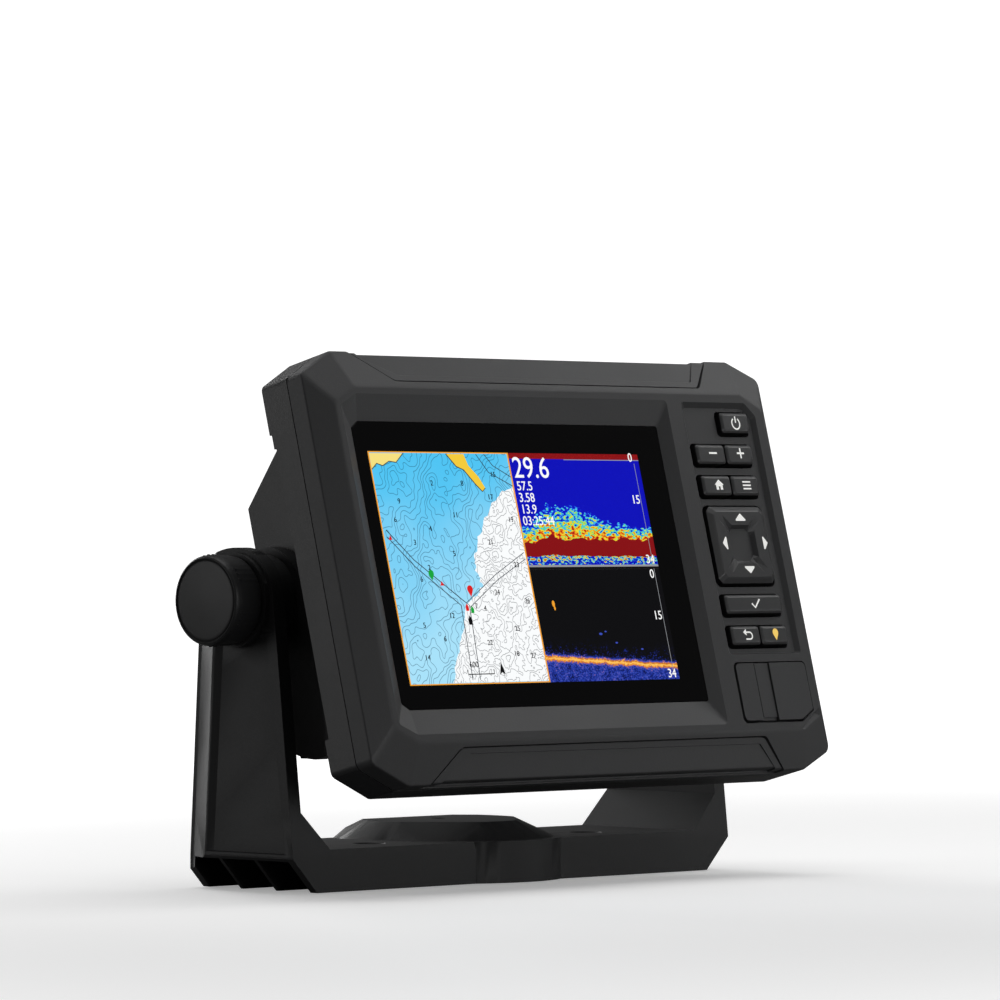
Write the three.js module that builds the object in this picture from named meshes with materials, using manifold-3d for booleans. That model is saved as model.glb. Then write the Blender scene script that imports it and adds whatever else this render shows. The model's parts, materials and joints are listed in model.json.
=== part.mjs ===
// Fish finder with a tilting bracket: a keyed 5-inch display head in a quick-release cradle, held
// between the arms of a bail bracket by two clamping knobs. Millimetres, +Z up, front towards -Y.
import * as THREE from "three";
import { ConvexGeometry } from "three/addons/geometries/ConvexGeometry.js";
import { mergeVertices } from "three/addons/utils/BufferGeometryUtils.js";
import Module from "manifold-3d";

const wasm = await Module();
wasm.setup();

// ---------------------------------------------------------------- driving dimensions
const TILT_DEG = 14.6; // how far the head leans back at rest
const PIVOT_HEIGHT = 78.8; // clamp axis above the ground
const PIVOT_BEHIND = 44.94; // clamp axis behind the lens plane, square to the face
const PIVOT_ABOVE = 2.42; // clamp axis above the middle of the screen, along the face
const GAP = 0.3; // gap between fixed neighbours

// Bracket
const BASE_DEPTH = 44.2;
const BASE_TOP = 11.6;
const BASE_FLOOR = 8.6; // underside of the base plate
const ARM_OUTSIDE = 88.5;
const ARM_INSIDE = 84.2;
const ARM_TOP_RADIUS = 14.3;
const ARM_TOP_HALF = 15.2; // half depth of an arm at the pivot
const FOOT_INSIDE = 79.2; // where the sloping end of the base meets the ground
const FOOT_RISE = 9.4; // height of the sloping end
const GUSSET_FOOT = 74.1; // inner slope from base to arm
const GUSSET_TOP = 21.8;
const WALL = 2.6; // bracket wall
const DOME_Y = 8.9;
const DOME_TOP = 16.5;
const DOME_TOP_RADIUS = 24.3;
const DOME_FOOT_RADIUS = 34;
const DOME_FLAT_TOP = 21.5; // distance of the four diagonal flats from the dome axis, at its top
const DOME_FLAT_FOOT = 35.0;
const CENTRE_HOLE = 2.2;
const RIB = 1.2; // half thickness of a rib under the base
const BAY = 6.8; // spacing of the hollow bays under the base
const SKIRT_RADIUS = 35.5;
const HOLE_X = 44;
const HOLE_Y = -7;
const HOLE_RADIUS = 2.4;
const COUNTERSINK_RADIUS = 4.6;
const PIVOT_HOLE_RADIUS = 4.3;
const BOSS_RADIUS = 12.9; // round seat for the knob on the arm
const BOSS_FACE = 90.0;
const PANEL_DEPTH = 1.1; // sunk panel on the outside of an arm

// Knob and clamp
const KNOB_RADIUS = 12.3;
const KNOB_FACE = 99.8;
const KNOB_BACK = 90.3;
const BOLT_RADIUS = 3.9;
const BOLT_TIP = 75.2;
const BOLT_HEAD = 97.2;
const BOLT_HEAD_RADIUS = 6.9;
const BOLT_HEAD_THICK = 4;
const WASHER_RADIUS = 8.6;
const FRICTION_RADIUS = 11.5;
const INSERT_RADIUS = 6;

// Head outline, seen square to the face; z is measured from the middle of the screen
const HEAD_HALF = 93;
const HEAD_TOP = 60;
const HEAD_BOTTOM = -60.5;
const CORNER_X = 12.5;
const CORNER_Z = 6.5;
const RIDGE = { left: -86, right: 88, top: 50, bottom: -49.6, cornerX: 8.4, cornerZ: 4.4 };
const RIDGE_Y = -2.5; // front plane, in front of the lens
const EDGE_Y = 1.5; // where the sloping border meets the side wall
const PART_Y = 7.0; // rear edge of the bezel
const RIM_Y = 17.0; // rear edge of the housing rim
const SHELL = 2.4; // wall of bezel and housing
const SCREEN_X = -20.5; // middle of the screen
const SCREEN_W = 108;
const SCREEN_H = 64.8;
const LENS = { left: -79.2, right: 43.9, top: 40.8, bottom: -39.1, cornerX: 2.8, cornerZ: 1.8 };
const OPENING = { left: -84, right: 47.3, top: 47.8, bottom: -46.3, cornerX: 6.5, cornerZ: 3.1 };
const WINDOW = { left: -78.2, right: 37.2, top: 36.3, bottom: -36.3 };

// Rear of the head
const BULGE_HALF = 72.7;
const BULGE_Y = 50; // rear plane of the upper part
const BULGE_TOP = 29.3;
const STEP_Z = -8; // the lower part steps forward to make room for the cradle
const LOWER_Y = 38;
const BULGE_BOTTOM = -40;
const REAR_WALL = 2.6;
const SOCKET_X = 26;
const SOCKET_Z = -24.5;
const SOCKET_RADIUS = 9;
const SOCKET_COLLAR = SOCKET_RADIUS + 2.2;

// Cradle and latch
const CHEEK_INSIDE = BULGE_HALF + 0.5;
const CHEEK_OUTSIDE = 77.6;
const BOSS_END = ARM_INSIDE - 1.5;
const CRADLE_BACK = LOWER_Y + 0.8;
const CRADLE_WALL = 3.4;
const LATCH_PIN = [47.2, -17.5]; // y and z
const LATCH_HALF = 12;
const LATCH_BORE = 1.8;
const TOOTH = { front: 39.5, low: -6.3, high: -4.1 };
const NOTCH = { half: 12.5, front: 40.4, top: -2.6 }; // room for the latch in the step of the housing

// Keypad
const PAD = { left: 53.7, right: 83.9, top: 46.9, bottom: -26.4 };
const PAD_FLOOR = -1.3;
const KEY_TOP = -2.8;
const KEY_FOOT = 3.3;
const KEY_LEFT = 56.0;
const KEY_RIGHT = 80.0;
const KEY_SPLIT = 68.4;
const KEY_WELL = 0.55; // gap round a key
const KEY_BEVEL = 0.9;
const KEY_ROWS = {
  power: { top: 44.4, bottom: 38.5 },
  zoom: { top: 34.9, bottom: 29.3 },
  home: { top: 25.8, bottom: 20.1 },
  dpad: { top: 16.8, bottom: -5.6 },
  select: { top: -9.1, bottom: -14.5 },
  back: { top: -18.2, bottom: -23.6 },
};
const POWER_LEFT = 69.0;
const POWER_RIGHT = 81.0;
const DPAD_HEIGHT = 0.3; // how far the rocker stands above the keys

// Card door
const DOOR = { left: 54.2, right: 85.1, top: -28.6, bottom: -46.3 };
const DOOR_FLOOR = 1.0;
const DOOR_FRONT = -2.75;
const DOOR_BACK = -0.4;
const BAND_LEFT = 62.6;
const HINGE_X = 69.1;
const DOOR_CORNER_X = 79.2; // where the cut lower right corner starts
const CARD_X = 76;
const CARD_Z = -37;
const SCREWS = { top: [78, 48], middle: [83.5, -2], bottom: [78, -48.5] }; // x and z, both sides

// Trims, seen square to the face
const TOP_TRIM = [
  [-59.8, 51.6], [65.2, 51.6], [66.6, 53], [70.2, HEAD_TOP + 3], [-77.5, HEAD_TOP + 3],
];
const BOTTOM_TRIM = [
  [-76, HEAD_BOTTOM - 3], [75, HEAD_BOTTOM - 3], [66.6, -51], [65, -49.9], [-56, -49.9], [-58, -51],
];
const TRIM_THICK = 1.4;
const TRIM_MIDDLE = -4;

// ---------------------------------------------------------------- materials
function plastic(color, roughness) {
  return new THREE.MeshStandardMaterial({ color, roughness, metalness: 0 });
}
function metal(color, roughness) {
  return new THREE.MeshStandardMaterial({ color, roughness, metalness: 1 });
}
const CHARCOAL = plastic(0x2b2c2e, 0.62);
const DARK = plastic(0x1f2022, 0.7);
const KEYCAP = plastic(0x2f3033, 0.55);
const SOFT = plastic(0x18191a, 0.85);
const LENS_GLASS = plastic(0x07080a, 0.08);
const SCREEN = plastic(0x2f7fb0, 0.3);
const BOARD = plastic(0x16532f, 0.5);
const STEEL = metal(0xb9bcc0, 0.3);
const BRASS = metal(0xc8a24a, 0.35);
const CERAMIC = plastic(0xd8cfb8, 0.6);

// ---------------------------------------------------------------- solids
function solid(geometry) {
  const bare = geometry.index ? geometry.toNonIndexed() : geometry.clone();
  for (const name of Object.keys(bare.attributes)) {
    if (name !== "position") bare.deleteAttribute(name);
  }
  const merged = mergeVertices(bare, 1e-4);
  const mesh = new wasm.Mesh({
    numProp: 3,
    vertProperties: new Float32Array(merged.attributes.position.array),
    triVerts: new Uint32Array(merged.index.array),
  });
  return new wasm.Manifold(mesh);
}
const join = (first, ...others) => others.reduce((all, next) => all.add(next), first);
const cut = (first, ...others) => others.reduce((left, next) => left.subtract(next), first);
const meet = (first, second) => first.intersect(second);

function hull(points) {
  return solid(new ConvexGeometry(points.map(([x, y, z]) => new THREE.Vector3(x, y, z))));
}
function box(x0, x1, y0, y1, z0, z1) {
  const shape = new THREE.BoxGeometry(x1 - x0, y1 - y0, z1 - z0);
  return solid(shape.translate((x0 + x1) / 2, (y0 + y1) / 2, (z0 + z1) / 2));
}
// A cylinder or cone whose axis runs along x, y or z; the first radius is at the lower end.
function rod(axis, r0, r1, from, to, centre, segments = 32) {
  const shape = new THREE.CylinderGeometry(r1, r0, to - from, segments);
  shape.translate(0, (from + to) / 2, 0);
  if (axis === "x") shape.rotateZ(-Math.PI / 2).translate(0, centre[0], centre[1]);
  if (axis === "y") shape.translate(centre[0], 0, centre[1]);
  if (axis === "z") shape.rotateX(Math.PI / 2).translate(centre[0], centre[1], 0);
  return solid(shape);
}
// A flat outline in x and z, given counter-clockwise from the front, made solid from y0 to y1.
function plate(points, y0, y1) {
  const shape = new THREE.Shape(points.map(([x, z]) => new THREE.Vector2(x, z)));
  const geometry = new THREE.ExtrudeGeometry(shape, { depth: y1 - y0, bevelEnabled: false });
  return solid(geometry.rotateX(Math.PI / 2).translate(0, y1, 0));
}
// The two ends of a stretch along x, for the left (-1) or right (1) side, lowest first.
const span = (side, a, b) => [side * a, side * b].sort((p, q) => p - q);
// A cylinder along x on one side of the object.
function sideRod(side, radius, a, b, centre, segments) {
  const [from, to] = span(side, a, b);
  return rod("x", radius, radius, from, to, centre, segments);
}
// Corner-cut rectangle; `grow` moves every side outwards.
function outline(r, grow = 0, cutX = r.cornerX || 0, cutZ = r.cornerZ || 0) {
  const left = r.left - grow;
  const right = r.right + grow;
  const top = r.top + grow;
  const bottom = r.bottom - grow;
  if (!cutX) return [[left, bottom], [right, bottom], [right, top], [left, top]];
  return [
    [left + cutX, bottom], [right - cutX, bottom], [right, bottom + cutZ], [right, top - cutZ],
    [right - cutX, top], [left + cutX, top], [left, top - cutZ], [left, bottom + cutZ],
  ];
}
// Rectangle cut at its left corners only.
function leftCut(r, grow = 0) {
  const points = outline(r, grow);
  return [
    points[0], [r.right + grow, r.bottom - grow], [r.right + grow, r.top + grow],
    points[5], points[6], points[7],
  ];
}
// The points of an outline at depth y.
const at = (points, y) => points.map(([x, z]) => [x, y, z]);
const HEAD = {
  left: -HEAD_HALF, right: HEAD_HALF, top: HEAD_TOP, bottom: HEAD_BOTTOM,
  cornerX: CORNER_X, cornerZ: CORNER_Z,
};
function toMesh(name, body, material) {
  const data = body.getMesh();
  const geometry = new THREE.BufferGeometry();
  const positions = new Float32Array(data.vertProperties);
  geometry.setAttribute("position", new THREE.BufferAttribute(positions, 3));
  geometry.setIndex(new THREE.BufferAttribute(new Uint32Array(data.triVerts), 1));
  geometry.computeVertexNormals();
  const mesh = new THREE.Mesh(geometry, material);
  mesh.name = name;
  return mesh;
}

// ---------------------------------------------------------------- groups
const object = new THREE.Group();
const tilting = new THREE.Group(); // everything that leans with the head; its origin is the clamp axis
tilting.position.set(0, 0, PIVOT_HEIGHT);
tilting.rotation.x = THREE.MathUtils.degToRad(-TILT_DEG);
object.add(tilting);
const face = new THREE.Group(); // x right, y back from the lens plane, z up from the screen centre
face.position.set(0, -PIVOT_BEHIND, -PIVOT_ABOVE);
tilting.add(face);

function place(group, name, body, material) {
  group.add(toMesh(name, body, material));
}

// ---------------------------------------------------------------- bracket
// The arms and base seen from the side: sloping edges and a round top.
function sideProfile() {
  const edge = ARM_TOP_HALF - 0.9;
  const shape = new THREE.Shape();
  shape.moveTo(-BASE_DEPTH / 2, 0);
  shape.lineTo(BASE_DEPTH / 2, 0);
  shape.lineTo(BASE_DEPTH / 2, FOOT_RISE);
  shape.lineTo(edge, PIVOT_HEIGHT);
  shape.absarc(0, PIVOT_HEIGHT, ARM_TOP_RADIUS, 0.04, Math.PI - 0.04, false);
  shape.lineTo(-edge, PIVOT_HEIGHT);
  shape.lineTo(-BASE_DEPTH / 2, FOOT_RISE);
  shape.closePath();
  const geometry = new THREE.ExtrudeGeometry(shape, {
    depth: 2 * ARM_OUTSIDE + 4, bevelEnabled: false, curveSegments: 14,
  });
  geometry.rotateX(Math.PI / 2).rotateZ(Math.PI / 2).translate(-ARM_OUTSIDE - 2, 0, 0);
  return solid(geometry);
}
// The U seen from the front.
function frontProfile() {
  const top = PIVOT_HEIGHT + ARM_TOP_RADIUS + 1;
  const half = [
    [FOOT_INSIDE, 0], [ARM_OUTSIDE, FOOT_RISE], [ARM_OUTSIDE, top],
    [ARM_INSIDE, top], [ARM_INSIDE, GUSSET_TOP], [GUSSET_FOOT, BASE_TOP],
  ];
  const mirrored = half.map(([x, z]) => [-x, z]).reverse();
  return plate([...half, ...mirrored], -BASE_DEPTH / 2, BASE_DEPTH / 2);
}
// A shallow cone with four diagonal flats.
function dome() {
  const middle = [0, DOME_Y];
  const round = rod("z", DOME_FOOT_RADIUS, DOME_TOP_RADIUS, BASE_TOP - 1, DOME_TOP, middle, 48);
  const height = 6;
  const pyramid = new THREE.CylinderGeometry(
    DOME_FLAT_TOP * Math.SQRT2, DOME_FLAT_FOOT * Math.SQRT2, height, 4,
  );
  pyramid.rotateX(Math.PI / 2).translate(0, DOME_Y, DOME_TOP - height / 2);
  const limit = box(-60, 60, -60, BASE_DEPTH / 2 - 1, 0, DOME_TOP + 1);
  return meet(meet(round, solid(pyramid)), limit);
}
// Three bays on each side, open below and at the ends.
function bays() {
  const half = BASE_DEPTH / 2 - WALL;
  const inside = SKIRT_RADIUS + 1;
  const edges = [-half, -BAY - RIB / 2, -BAY + RIB / 2, BAY - RIB / 2, BAY + RIB / 2, half];
  return [-1, 1].flatMap((side) => {
    const [x0, x1] = span(side, inside, ARM_OUTSIDE + 1);
    return [0, 2, 4].map((i) => box(x0, x1, edges[i], edges[i + 1], -1, BASE_FLOOR));
  });
}
// The round middle of the base: skirt, hollow, ribs and centre post.
function roundMiddle(body) {
  const middle = [0, DOME_Y];
  const inner = SKIRT_RADIUS - WALL;
  const skirt = rod("z", SKIRT_RADIUS, SKIRT_RADIUS, 0, BASE_TOP, middle, 48);
  const front = box(-60, 60, -60, BASE_DEPTH / 2 - 1, -1, BASE_TOP + 1);
  const bowl = rod("z", inner, inner, -1, BASE_FLOOR, middle, 36);
  const bowlLimit = box(-60, 60, -60, BASE_DEPTH / 2 - WALL, -2, BASE_FLOOR + 1);
  const lengthRib = box(-RIB, RIB, DOME_Y - inner - 1, BASE_DEPTH / 2 - 1, 0, BASE_FLOOR + 1);
  const crossRib = box(-inner - 1, inner + 1, DOME_Y - RIB, DOME_Y + RIB, 0, BASE_FLOOR + 1);
  const post = rod("z", 7, 7, 0, BASE_TOP, middle, 24);
  const whole = cut(join(body, meet(skirt, front)), meet(bowl, bowlLimit));
  const filled = join(whole, dome(), lengthRib, crossRib, post);
  return cut(filled, rod("z", CENTRE_HOLE, CENTRE_HOLE, -1, DOME_TOP + 1, middle, 20));
}
function screwHole(body, side) {
  const spot = [side * HOLE_X, HOLE_Y];
  const sink = COUNTERSINK_RADIUS - HOLE_RADIUS;
  const column = rod("z", 6.2, 6.2, 0, BASE_TOP, spot, 16);
  const hole = rod("z", HOLE_RADIUS, HOLE_RADIUS, -1, BASE_TOP + 1, spot, 16);
  const cone = rod("z", HOLE_RADIUS, COUNTERSINK_RADIUS + 1, BASE_TOP - sink, BASE_TOP + 1, spot, 16);
  return cut(join(body, column), hole, cone);
}
// The sunk panel on the outside of an arm.
function armPanel(side) {
  const points = [];
  for (const [z, front, rear] of [[FOOT_RISE + 0.8, -19, 13], [PIVOT_HEIGHT - 16, -12.6, 9.2]]) {
    points.push([ARM_OUTSIDE + 1, front - 0.6, z], [ARM_OUTSIDE + 1, rear + 1.5, z]);
    points.push([ARM_OUTSIDE - PANEL_DEPTH, front + 0.8, z + 0.5]);
    points.push([ARM_OUTSIDE - PANEL_DEPTH, rear - 4.2, z + 0.5]);
  }
  return hull(points.map(([x, y, z]) => [side * x, y, z]));
}
// The wide bevel along the rear outer edge of an arm.
function armBevel(side) {
  const points = [];
  for (const [z, edge] of [[FOOT_RISE - 12, 23.2], [PIVOT_HEIGHT + 16, 13.2]]) {
    points.push([ARM_OUTSIDE + 0.2, edge - 9, z], [ARM_OUTSIDE - 4.2, edge - 0.8, z]);
    points.push([ARM_OUTSIDE + 6, edge + 6, z], [ARM_OUTSIDE + 6, edge - 9, z]);
  }
  return hull(points.map(([x, y, z]) => [side * x, y, z]));
}
function arm(body, side) {
  const pivot = [0, PIVOT_HEIGHT];
  const boss = sideRod(side, BOSS_RADIUS, ARM_OUTSIDE - 2, BOSS_FACE, pivot, 32);
  const bore = sideRod(side, PIVOT_HOLE_RADIUS, ARM_INSIDE - 2, BOSS_FACE + 2, pivot, 24);
  return cut(join(cut(body, armPanel(side), armBevel(side)), boss), bore);
}
function bracket() {
  const frame = cut(meet(frontProfile(), sideProfile()), ...bays());
  return [-1, 1].reduce((body, side) => arm(screwHole(body, side), side), roundMiddle(frame));
}

// ---------------------------------------------------------------- knobs; local x runs outwards
const outwards = (body, side) => (side > 0 ? body : body.rotate([0, 0, 180]));
// A profile of [x, radius] points turned about the x axis.
function turned(profile, segments) {
  const points = profile.map(([x, r]) => new THREE.Vector2(r, x));
  return solid(new THREE.LatheGeometry(points, segments).rotateZ(-Math.PI / 2));
}
function knob() {
  const r = KNOB_RADIUS;
  const x = KNOB_FACE;
  const body = turned([
    [KNOB_BACK, 0], [KNOB_BACK, r - 0.7], [KNOB_BACK + 0.7, r], [x - 1.4, r],
    [x - 0.3, r - 1.0], [x - 0.7, r - 1.9], [x, r * 0.4], [x, 0],
  ], 36);
  const seat = WASHER_RADIUS + 0.6;
  const bore = BOLT_RADIUS + GAP;
  const pocket = BOLT_HEAD_RADIUS + 0.4;
  const washerSeat = rod("x", seat, seat, KNOB_BACK - 1, KNOB_BACK + 1.1, [0, 0], 24);
  const studBore = rod("x", bore, bore, KNOB_BACK - 1, BOLT_HEAD + GAP, [0, 0], 20);
  const pocketFrom = BOLT_HEAD - BOLT_HEAD_THICK - GAP;
  const headPocket = rod("x", pocket, pocket, pocketFrom, BOLT_HEAD + GAP, [0, 0], 6);
  return cut(body, washerSeat, studBore, headPocket);
}
function bolt() {
  const r = BOLT_RADIUS;
  const shank = rod("x", r, r, BOLT_TIP + 0.6, BOLT_HEAD, [0, 0], 20);
  const tip = rod("x", r - 0.6, r, BOLT_TIP, BOLT_TIP + 0.7, [0, 0], 20);
  const headFrom = BOLT_HEAD - BOLT_HEAD_THICK;
  const head = rod("x", BOLT_HEAD_RADIUS, BOLT_HEAD_RADIUS, headFrom, BOLT_HEAD, [0, 0], 6);
  return join(shank, tip, head);
}
function ring(outer, inner, from, to) {
  const body = rod("x", outer, outer, from, to, [0, 0], 24);
  return cut(body, rod("x", inner, inner, from - 1, to + 1, [0, 0], 20));
}
function buildClamps() {
  const washer = ring(WASHER_RADIUS, BOLT_RADIUS + 0.5, BOSS_FACE + 0.2, BOSS_FACE + 1.1);
  const friction = ring(FRICTION_RADIUS, PIVOT_HOLE_RADIUS + 0.4, ARM_INSIDE - 1.2, ARM_INSIDE - 0.2);
  const insert = ring(INSERT_RADIUS, BOLT_RADIUS + 0.2, BOLT_TIP + 0.4, BOSS_END - 0.5);
  for (const [word, side] of [["left", -1], ["right", 1]]) {
    place(tilting, "knob_" + word, outwards(knob(), side), CHARCOAL);
    place(tilting, "clamp_bolt_" + word, outwards(bolt(), side), STEEL);
    place(tilting, "knob_washer_" + word, outwards(washer, side), STEEL);
    place(tilting, "friction_washer_" + word, outwards(friction, side), SOFT);
    place(tilting, "threaded_insert_" + word, outwards(insert, side), BRASS);
  }
}

// ---------------------------------------------------------------- bezel and its trims
// The outside of the bezel, with every face moved in by `inset`.
function bezelBlock(inset, rear = PART_Y) {
  const edge = outline(HEAD, -inset);
  const ridge = outline(RIDGE, -inset * 0.55);
  return hull([...at(edge, EDGE_Y), ...at(edge, rear), ...at(ridge, RIDGE_Y + inset)]);
}
const behindTrim = () => bezelBlock(TRIM_THICK + GAP, 20);
function trim(points) {
  const shrunk = points.map(([x, z]) => {
    const free = Math.abs(z) > Math.abs(HEAD_BOTTOM); // beyond the bezel, so cut off by its outline
    return [x + Math.sign(TRIM_MIDDLE - x) * GAP, free ? z : z + Math.sign(z) * GAP];
  });
  const slab = meet(bezelBlock(0), plate(shrunk, -10, 5.2 - GAP));
  return cut(slab, bezelBlock(TRIM_THICK, 20));
}
function trimRecess(points) {
  return cut(meet(bezelBlock(-2), plate(points, -10, 5.2)), behindTrim());
}
function keyWells() {
  return Object.entries(KEY_ROWS).map(([row, { top, bottom }]) => {
    const left = row === "power" ? POWER_LEFT : KEY_LEFT;
    const right = row === "power" ? POWER_RIGHT : KEY_RIGHT;
    return box(left - KEY_WELL, right + KEY_WELL, -5, 5, bottom - KEY_WELL, top + KEY_WELL);
  });
}
// The sunk field of the keypad, with a cut upper right corner and a sloping right wall.
function padRecess() {
  const field = (right, corner) => [
    [PAD.left, PAD.bottom], [right, PAD.bottom], [right, PAD.top - corner],
    [right - corner, PAD.top], [PAD.left, PAD.top],
  ];
  const floor = field(PAD.right - 0.5, 3);
  const mouth = field(PAD.right + 0.6, 3.8);
  return hull([...at(floor, PAD_FLOOR), ...at(mouth, RIDGE_Y - 0.5)]);
}
function doorRecess() {
  const r = DOOR;
  const points = [
    [r.left, r.bottom], [DOOR_CORNER_X + 0.4, r.bottom], [r.right, r.bottom + 3.2],
    [r.right, r.top], [r.left, r.top],
  ];
  return plate(points, -6, DOOR_FLOOR);
}
function fingerScoop() {
  return hull([
    [79, -4, -49], [79, RIDGE_Y + 0.2, -48.2], [90, -4, -41], [88.2, RIDGE_Y + 0.2, -41.6],
    [79.4, 0.2, -46.2], [85, 0.2, -43.2], [88.4, -4, -46.5],
  ]);
}
function screwSpots() {
  return [-1, 1].flatMap((side) => Object.values(SCREWS).map(([x, z]) => [side * x, z]));
}
// The lens opening: splayed sides, the seat of the lens and the window behind it.
function lensOpening() {
  const splay = hull([
    ...at(leftCut(LENS), 0), ...at(leftCut(OPENING), RIDGE_Y),
    ...at(leftCut(OPENING, 0.4), RIDGE_Y - 0.4),
  ]);
  return join(splay, plate(leftCut(LENS), -1, 2.3), plate(outline(WINDOW), -1, 8));
}
// The hollow behind the face, with a deeper pocket for the keypad parts.
function bezelHollow() {
  const pad = { left: 49, right: 82, top: 50, bottom: -56 };
  const main = plate(outline(HEAD, -6.5), 4.5, 8);
  return join(main, plate(outline(HEAD, -SHELL), 6.4, 8), plate(outline(pad), 2.3, 5));
}
function cardSlot() {
  return box(CARD_X - 2.6, CARD_X + 2.6, -1, 5, CARD_Z - 6.6, CARD_Z + 6.6);
}
function bezel() {
  const openings = [lensOpening(), padRecess(), bezelHollow(), doorRecess(), fingerScoop(), cardSlot()];
  let body = cut(bezelBlock(0), ...openings, ...keyWells());
  body = cut(body, trimRecess(TOP_TRIM), trimRecess(BOTTOM_TRIM));
  for (const spot of screwSpots()) {
    const post = rod("y", 2.6, 2.6, 1.5, 9.2, spot, 12);
    body = cut(join(body, post), rod("y", 1.7, 1.7, 2.4, 12, spot, 10));
  }
  return body;
}

// ---------------------------------------------------------------- rear housing
// The shallow tray that closes the back of the bezel.
function tray() {
  return hull([...at(outline(HEAD), PART_Y + GAP), ...at(outline(HEAD, -0.8), RIM_Y)]);
}
// The raised middle of the back, with every face moved in by `inset`.
function bulge(inset) {
  const w = BULGE_HALF - inset;
  const back = BULGE_Y - inset;
  const slope = HEAD_TOP - 2.5 - inset;
  const step = STEP_Z + inset;
  const upper = hull([-w, w].flatMap((x) => [
    [x, 10, slope], [x, RIM_Y - inset, slope], [x, back, BULGE_TOP - inset],
    [x, back, step], [x, 10, step],
  ]));
  return join(upper, box(-w, w, 10, LOWER_Y - inset, BULGE_BOTTOM + inset, step + inset + 1));
}
// The rim's rear edge stands a little further forward along the middle of each side.
function rimRelief(side) {
  const [x0, x1] = span(side, HEAD_HALF - 6, HEAD_HALF + 1);
  return join(
    box(x0, x1, RIM_Y - 1.6, RIM_Y + 3, -43, 37),
    box(x0, x1, RIM_Y - 0.8, RIM_Y + 3, 36.5, 41),
  );
}
// The notch in the step that the latch snaps into, walled off from the inside of the housing.
function addNotch(body) {
  const wall = 2;
  const half = NOTCH.half + wall;
  const back = BULGE_Y - 0.5;
  const room = box(-NOTCH.half, NOTCH.half, NOTCH.front, 60, STEP_Z - 1, NOTCH.top);
  const roof = box(-half, half, 38.2, back, NOTCH.top, NOTCH.top + 1.4);
  const front = box(-half, half, 38.2, NOTCH.front, STEP_Z, NOTCH.top + 1.4);
  const sides = [-1, 1].map((side) => {
    const [x0, x1] = span(side, NOTCH.half, half);
    return box(x0, x1, 38.2, back, STEP_Z + 0.5, NOTCH.top + 1.4);
  });
  const toothPocket = box(-12.1, 12.1, 39.2, 41, TOOTH.low - 0.4, TOOTH.high + 0.9);
  return cut(join(cut(body, room), roof, front, ...sides), toothPocket);
}
function addCardRoom(body) {
  const bump = box(CARD_X - 5.4, CARD_X + 5.4, RIM_Y - 2, 19.2, CARD_Z - 8.4, CARD_Z + 8.4);
  return cut(join(body, bump), box(CARD_X - 3.3, CARD_X + 3.3, 9, 17.3, CARD_Z - 6.8, CARD_Z + 6.8));
}
function rearHousing() {
  const hollow = join(
    plate(outline(HEAD, -6.5), 0, RIM_Y - REAR_WALL),
    plate(outline(HEAD, -SHELL), 0, 8.3),
    bulge(SHELL),
  );
  let body = cut(join(tray(), bulge(0)), hollow, rimRelief(-1), rimRelief(1));
  for (const x of [-SOCKET_X, SOCKET_X]) {
    body = cut(body, rod("y", SOCKET_RADIUS + GAP, SOCKET_RADIUS + GAP, 30, 45, [x, SOCKET_Z], 24));
  }
  body = addNotch(body);
  for (const spot of screwSpots()) {
    const post = rod("y", 3.6, 3.6, 9.6, RIM_Y - 2, spot, 12);
    const hole = rod("y", 1.8, 1.8, 5, 20, spot, 10);
    body = cut(join(body, post), hole, rod("y", 3.1, 3.1, 14.2, 20, spot, 12));
  }
  return addCardRoom(body);
}

// ---------------------------------------------------------------- cradle and latch
function cheekShape() {
  const y = PIVOT_BEHIND;
  const z = PIVOT_ABOVE;
  const shape = new THREE.Shape();
  shape.moveTo(19.5, -36);
  shape.lineTo(24, -44);
  shape.lineTo(37, -44);
  shape.quadraticCurveTo(48, -41, 50, -32);
  shape.lineTo(50, STEP_Z);
  shape.lineTo(y + 14.2, z - 3);
  shape.absarc(y, z, 14.5, -0.2, Math.PI, false);
  shape.lineTo(y - 16, z - 14);
  shape.lineTo(19.5, -14);
  shape.closePath();
  return shape;
}
function cheek(side) {
  const thick = CHEEK_OUTSIDE - CHEEK_INSIDE;
  const geometry = new THREE.ExtrudeGeometry(cheekShape(), {
    depth: thick, bevelEnabled: false, curveSegments: 7,
  });
  geometry.rotateX(Math.PI / 2).rotateZ(Math.PI / 2);
  geometry.translate(side > 0 ? CHEEK_INSIDE : -CHEEK_OUTSIDE, 0, 0);
  return solid(geometry);
}
// The shelf that the bottom of the housing rests on.
function shelf() {
  const back = CRADLE_BACK + CRADLE_WALL + 0.5;
  return hull([-CHEEK_OUTSIDE + 0.5, CHEEK_OUTSIDE - 0.5].flatMap((x) => [
    [x, 21, -40.6], [x, 24, -43.8], [x, 37, -43.8], [x, back, -42.4], [x, back, -40.6],
  ]));
}
// Clamp boss of one side, bored for its threaded insert and the bolt.
function addPivotBoss(body, side) {
  const pivot = [PIVOT_BEHIND, PIVOT_ABOVE];
  const boss = sideRod(side, 12.4, CHEEK_INSIDE + 1, BOSS_END, pivot, 28);
  const insertHole = sideRod(side, INSERT_RADIUS + GAP, BOLT_TIP + 0.1, BOSS_END - 0.2, pivot, 20);
  const boltHole = sideRod(side, BOLT_RADIUS + 0.5, BOLT_TIP - 0.6, 90, pivot, 16);
  return cut(join(body, boss), insertHole, boltHole);
}
// Ear that holds one end of the latch pin.
function latchLug(side) {
  const root = CRADLE_BACK + 2;
  return hull(span(side, LATCH_HALF + 0.6, LATCH_HALF + 3.4).flatMap((x) => [
    [x, root, -10.5], [x, root, -25], [x, 50, -15], [x, 50, -20],
  ]));
}
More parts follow.
